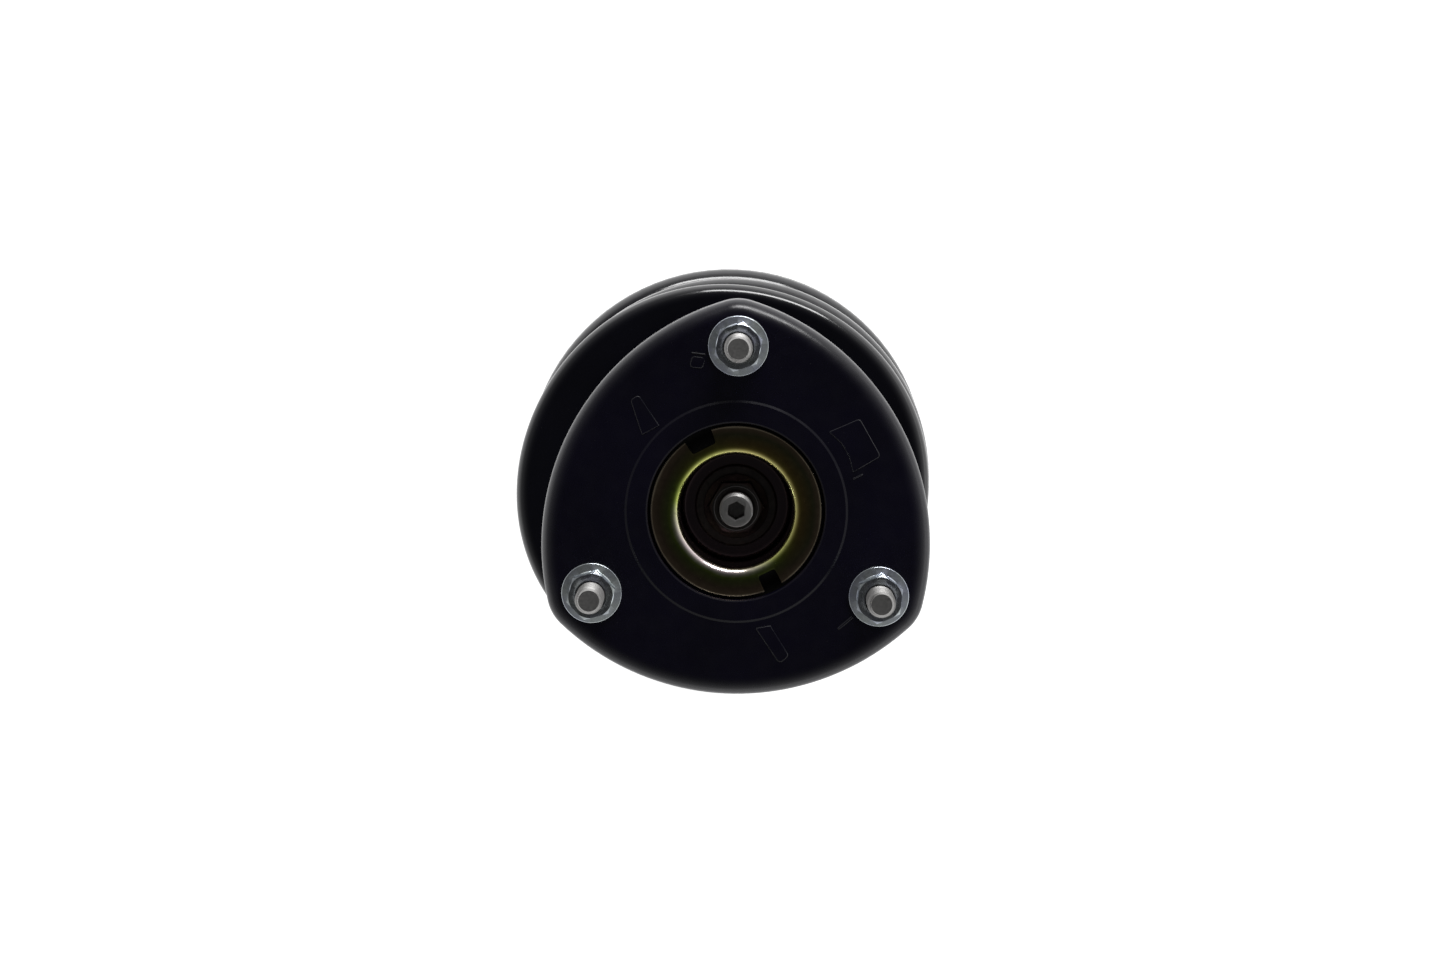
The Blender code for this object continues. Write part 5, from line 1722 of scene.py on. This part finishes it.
@dataclass
class KnuckleBracket:
    """Sheet wrapped round the tube with two bolted ears, a pressed rib along each."""

    tube: float = 0.0258
    thickness: float = 0.004
    gap: float = 0.036
    corner: float = 0.012
    bolt_radius: float = 0.0072
    bolt_reach: float = 0.058
    bolt_spacing: float = 0.054
    rib_place: float = 0.043
    rib_half: tuple[float, float] = (0.0045, 0.0035)
    rib_height: float = 0.0012
    rib_stretch: float = 3.4

    def outline(self, reach: float) -> list[Vector]:
        """Section across the tube: the wrap and both ears.

        Args:
            reach: Y of the ears' ends.

        Returns:
            Points of the outline.
        """
        inside, outside = self.gap / 2, self.gap / 2 + self.thickness
        inner, outer = self.tube, self.tube + self.thickness
        start_in, start_out = -math.acos(inside / inner), -math.acos(outside / outer)
        return [
            Vector((inside, reach)),
            *arc((0, 0), inner, start_in, math.pi - start_in, 80),
            Vector((-inside, reach)), Vector((-outside, reach)),
            *arc((0, 0), outer, math.pi - start_out, start_out, 80),
            Vector((outside, reach)),
        ]

    def build(self) -> None:
        """Builds the bracket."""
        low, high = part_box("knuckle_bracket")
        bracket = prism(self.outline(low.y), low.z, high.z)
        past = 2 * high.x
        side = prism(rounded([
            (low.y, low.z, self.corner), (past, low.z), (past, high.z), (low.y, high.z, self.corner),
        ]), -past, past)
        swap = Matrix(((0, 0, 1), (1, 0, 0), (0, 1, 0)))
        bmesh.ops.rotate(side, verts=side.verts, cent=(0, 0, 0), matrix=swap)
        bmesh.ops.recalc_face_normals(side, faces=side.faces)
        bracket = combined(bracket, side, Cut.KEEP_COMMON)
        middle = (low.z + high.z) / 2
        across = Matrix.Rotation(math.radians(90), 3, "Y")
        for sign in (-1, 1):
            bolt = drill(self.bolt_radius, -past, past)
            bmesh.ops.rotate(bolt, verts=bolt.verts, cent=(0, 0, 0), matrix=across)
            place = (0, -self.bolt_reach, middle + sign * self.bolt_spacing / 2)
            bracket = without(bracket, moved(bolt, place))
        outside = self.gap / 2 + self.thickness
        half_x, half_y = self.rib_half
        corners = [(-half_x, -half_y), (half_x, -half_y), (half_x, half_y), (-half_x, half_y)]
        for sign in (-1, 1):
            rib = prism(rounded([(*corner, 0.0034) for corner in corners]), -SUNK, self.rib_height)
            bmesh.ops.scale(rib, verts=rib.verts, vec=(self.rib_stretch, 1.0, 1.0))
            bevelled(rib, 0.0009, 3, at_height(self.rib_height))
            stand = Matrix(((0, 0, sign), (1, 0, 0), (0, sign, 0))).to_4x4()
            at = Matrix.Translation((sign * outside, -self.rib_place, middle))
            bmesh.ops.transform(rib, verts=rib.verts, matrix=at @ stand)
            bmesh.ops.recalc_face_normals(rib, faces=rib.faces)
            bracket = joined(bracket, rib)
        bevelled(bracket, 0.0005, 2, sharper_than(50))
        show("knuckle_sheet", bracket, Body.STRUT, Finishes.SATIN, ["knuckle_bracket"])


@dataclass
class SmallBrackets:
    """Hose tab and stabiliser-link plate on the tube."""

    tube: float = 0.0258
    hose_angle: float = math.radians(-35)
    hose_reach: float = 0.049
    hose_half: float = 0.013
    hose_hole: float = 0.0065
    link_reach: float = 0.050
    link_half: float = 0.017
    link_end: float = 0.013
    link_hole: float = 0.0061

    def build(self) -> None:
        """Builds both brackets."""
        low, high = low_of("hose_bracket"), high_of("hose_bracket")
        root = math.asin(self.hose_half / self.tube)
        outline = arc((0, 0), self.tube, root, -root, 16) + arc(
            (self.hose_reach, 0), self.hose_half, math.radians(-90), math.radians(90), 32,
        )
        tab = prism(outline, low, high)
        tab = without(tab, moved(drill(self.hose_hole, low - PAST, high + PAST), (self.hose_reach, 0)))
        bevelled(tab, 0.0004, 2, sharper_than(50))
        show("hose_tab", moved(tab, turn=self.hose_angle), Body.STRUT, Finishes.SATIN, ["hose_bracket"])
        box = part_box("stabiliser_link_bracket")
        middle, half = (box[0].z + box[1].z) / 2, box[1].y
        outline = [Vector((self.tube, self.link_half)), Vector((self.tube, -self.link_half))]
        outline += arc((self.link_reach, 0), self.link_end, math.radians(-80), math.radians(80), 40)
        plate = prism(outline, -half, half)
        plate = without(plate, moved(drill(self.link_hole, -PAST, PAST), (self.link_reach, 0)))
        bevelled(plate, 0.0005, 2, sharper_than(50))
        upright = Matrix.Rotation(math.radians(180), 4, "Z") @ Matrix.Rotation(math.radians(90), 4, "X")
        matrix = Matrix.Translation((0, 0, middle)) @ upright
        bmesh.ops.transform(plate, verts=plate.verts, matrix=matrix)
        show("link_plate", plate, Body.STRUT, Finishes.SATIN, ["stabiliser_link_bracket"])


# ---------------------------------------------------------------- hidden pieces, studio


class HiddenPieces:
    """Nodes sealed inside the strut, which keep their solids."""

    FINISH_OF_SLOT: ClassVar[dict[Slot, Finish]] = {
        Slot.BLACK_COAT: Finishes.SATIN,
        Slot.BRIGHT_ZINC: Finishes.BRIGHT,
        Slot.STEEL: Finishes.STEEL,
        Slot.YELLOW_ZINC: Finishes.CHROMATE,
        Slot.BLACK_RUBBER: Finishes.RUBBER,
        Slot.FOAM: Finishes.FOAM,
        Slot.PLASTIC: Finishes.PLASTIC,
        Slot.CHROME: Finishes.CHROME,
        Slot.BRONZE: Finishes.BRONZE,
    }

    def dress(self) -> None:
        """Gives every node of the frame the finish of its slot."""
        slots = {row["node"]: Slot(row["material_slot"]) for row in frame["record"]["subparts"]}
        for name, node in frame["nodes"].items():
            material = Finishes.get(self.FINISH_OF_SLOT[slots[name]])
            if not node.data.materials:
                node.data.materials.append(material)
            for slot in node.material_slots:
                slot.material = material
        log.info("%d nodes of the frame dressed", len(frame["nodes"]))


@dataclass(frozen=True)
class Softbox:
    """Wide, low studio light that faces the strut's top."""

    name: str
    azimuth_deg: float
    elevation_deg: float
    distance: float
    width: float
    height: float
    watts: float
    colour: Colour = (1.0, 1.0, 1.0)

    def build(self, target: Vector) -> None:
        """Places the light round the target.

        Args:
            target: What it faces.
        """
        lamp = bpy.data.lights.new(self.name, "AREA")
        lamp.shape = "RECTANGLE"
        lamp.size = self.width
        lamp.size_y = self.height
        lamp.energy = self.watts
        lamp.color = self.colour
        made = bpy.data.objects.new(self.name, lamp)
        bpy.context.scene.collection.objects.link(made)
        across = polar(math.cos(math.radians(self.elevation_deg)), math.radians(self.azimuth_deg))
        towards = Vector((*across, math.sin(math.radians(self.elevation_deg))))
        made.location = target + towards * self.distance
        made.rotation_euler = (-towards).to_track_quat("-Z", "Y").to_euler()
        made.visible_camera = False


@dataclass
class Studio:
    """Pale floor, soft light, surroundings and the camera over the strut."""

    floor_size: float = 30.0
    floor_colour: Colour = (0.86, 0.86, 0.86)
    floor_glow: float = 0.85
    sky: tuple[tuple[float, float], ...] = (
        # (sine of the elevation, brightness)
        (0.0, 1.45), (0.07, 1.15), (0.17, 0.78), (0.32, 0.50), (0.50, 0.37),
        (0.62, 0.25), (0.74, 0.14), (0.875, 0.07), (1.0, 0.03),
    )
    sky_azimuth_deg: float = -20.0
    sky_swing: float = 0.4
    camera_place: tuple[float, float, float] = (-0.00257, 0.11054, 1.1548)
    camera_turn_deg: tuple[float, float, float] = (-4.9324, 0.1827, 0.6974)
    lens: float = 80.8
    lights: tuple[Softbox, ...] = (
        Softbox("key", 78.0, 26.0, 2.6, 1.6, 0.5, 40.0),
    )

    def floor(self) -> None:
        """Lays the floor under the strut."""
        bm = bmesh.new()
        bmesh.ops.create_grid(bm, x_segments=1, y_segments=1, size=self.floor_size / 2)
        bmesh.ops.translate(bm, verts=bm.verts, vec=(0, 0, CAD_BOX[0].z - 0.0005))
        mesh = bpy.data.meshes.new("floor")
        bm.to_mesh(mesh)
        bm.free()
        g = Graph("pale_floor")
        g.set("Base Color", self.floor_colour)
        g.set("Roughness", 0.8)
        g.set("Emission Color", (1.0, 1.0, 1.0))
        g.set("Emission Strength", self.floor_glow)
        mesh.materials.append(g.material)
        floor = bpy.data.objects.new("floor", mesh)
        bpy.context.scene.collection.objects.link(floor)
        floor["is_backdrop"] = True

    def surroundings(self) -> None:
        """Light from all round that fades from the horizon to the zenith."""
        world = bpy.data.worlds.new("studio")
        world.use_nodes = True
        bpy.context.scene.world = world
        tree = world.node_tree
        place = tree.nodes.new("ShaderNodeTexCoord")
        split = tree.nodes.new("ShaderNodeSeparateXYZ")
        ramp = tree.nodes.new("ShaderNodeValToRGB")
        stops = ramp.color_ramp.elements
        while len(stops) < len(self.sky):
            stops.new(0.5)
        for stop, (position, brightness) in zip(stops, self.sky):
            stop.position = position
            stop.color = (brightness, brightness, brightness, 1)
        tree.links.new(place.outputs["Generated"], split.inputs[0])
        tree.links.new(split.outputs["Z"], ramp.inputs["Fac"])
        side = tree.nodes.new("ShaderNodeVectorMath")
        side.operation = "DOT_PRODUCT"
        side.inputs[1].default_value = polar(self.sky_swing, math.radians(self.sky_azimuth_deg)).to_3d()
        tree.links.new(place.outputs["Generated"], side.inputs[0])
        strength = tree.nodes.new("ShaderNodeMath")
        strength.inputs[1].default_value = 1.0
        tree.links.new(side.outputs["Value"], strength.inputs[0])
        background = tree.nodes["Background"]
        tree.links.new(ramp.outputs["Color"], background.inputs["Color"])
        tree.links.new(strength.outputs[0], background.inputs["Strength"])

    def camera(self) -> None:
        """Puts the camera above the mount."""
        data = bpy.data.cameras.new("camera")
        data.lens = self.lens
        data.sensor_width = 36.0
        data.clip_start, data.clip_end = 0.05, 60.0
        camera = bpy.data.objects.new("camera", data)
        bpy.context.scene.collection.objects.link(camera)
        camera.location = self.camera_place
        camera.rotation_euler = [math.radians(turn) for turn in self.camera_turn_deg]
        bpy.context.scene.camera = camera

    def build(self) -> None:
        """Builds the studio."""
        self.camera()
        self.floor()
        self.surroundings()
        target = Vector((0, 0, -0.1))
        for light in self.lights:
            light.build(target)
        bpy.context.scene.view_settings.view_transform = "Standard"


def save_sizes() -> None:
    """Works out the frame's box and the finished object's box."""
    boxes = {"cad": CAD_BOX, "visual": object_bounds()}
    plain = {name: [list(corner) for corner in box] for name, box in boxes.items()}


def main() -> None:
    """Builds the studio and every piece of the strut."""
    logging.basicConfig(level=logging.INFO, format="%(message)s")
    Studio().build()
    HiddenPieces().dress()
    stroke = next(joint for joint in frame["joints"] if joint["name"] == "stroke")["range_m"][1]
    plate = MountPlate()
    plate.build()
    StudsAndNuts(plate).build()
    MountCore().build()
    ReboundCup().build()
    RodEnd().build()
    UpperSeat().build()
    Spring().build(stroke)
    DustBoot().build(stroke)
    LowerSeat().build()
    Damper().build()
    KnuckleBracket().build()
    SmallBrackets().build()
    WeldBeads().build()
    save_sizes()


if __name__ == "__main__":
    main()
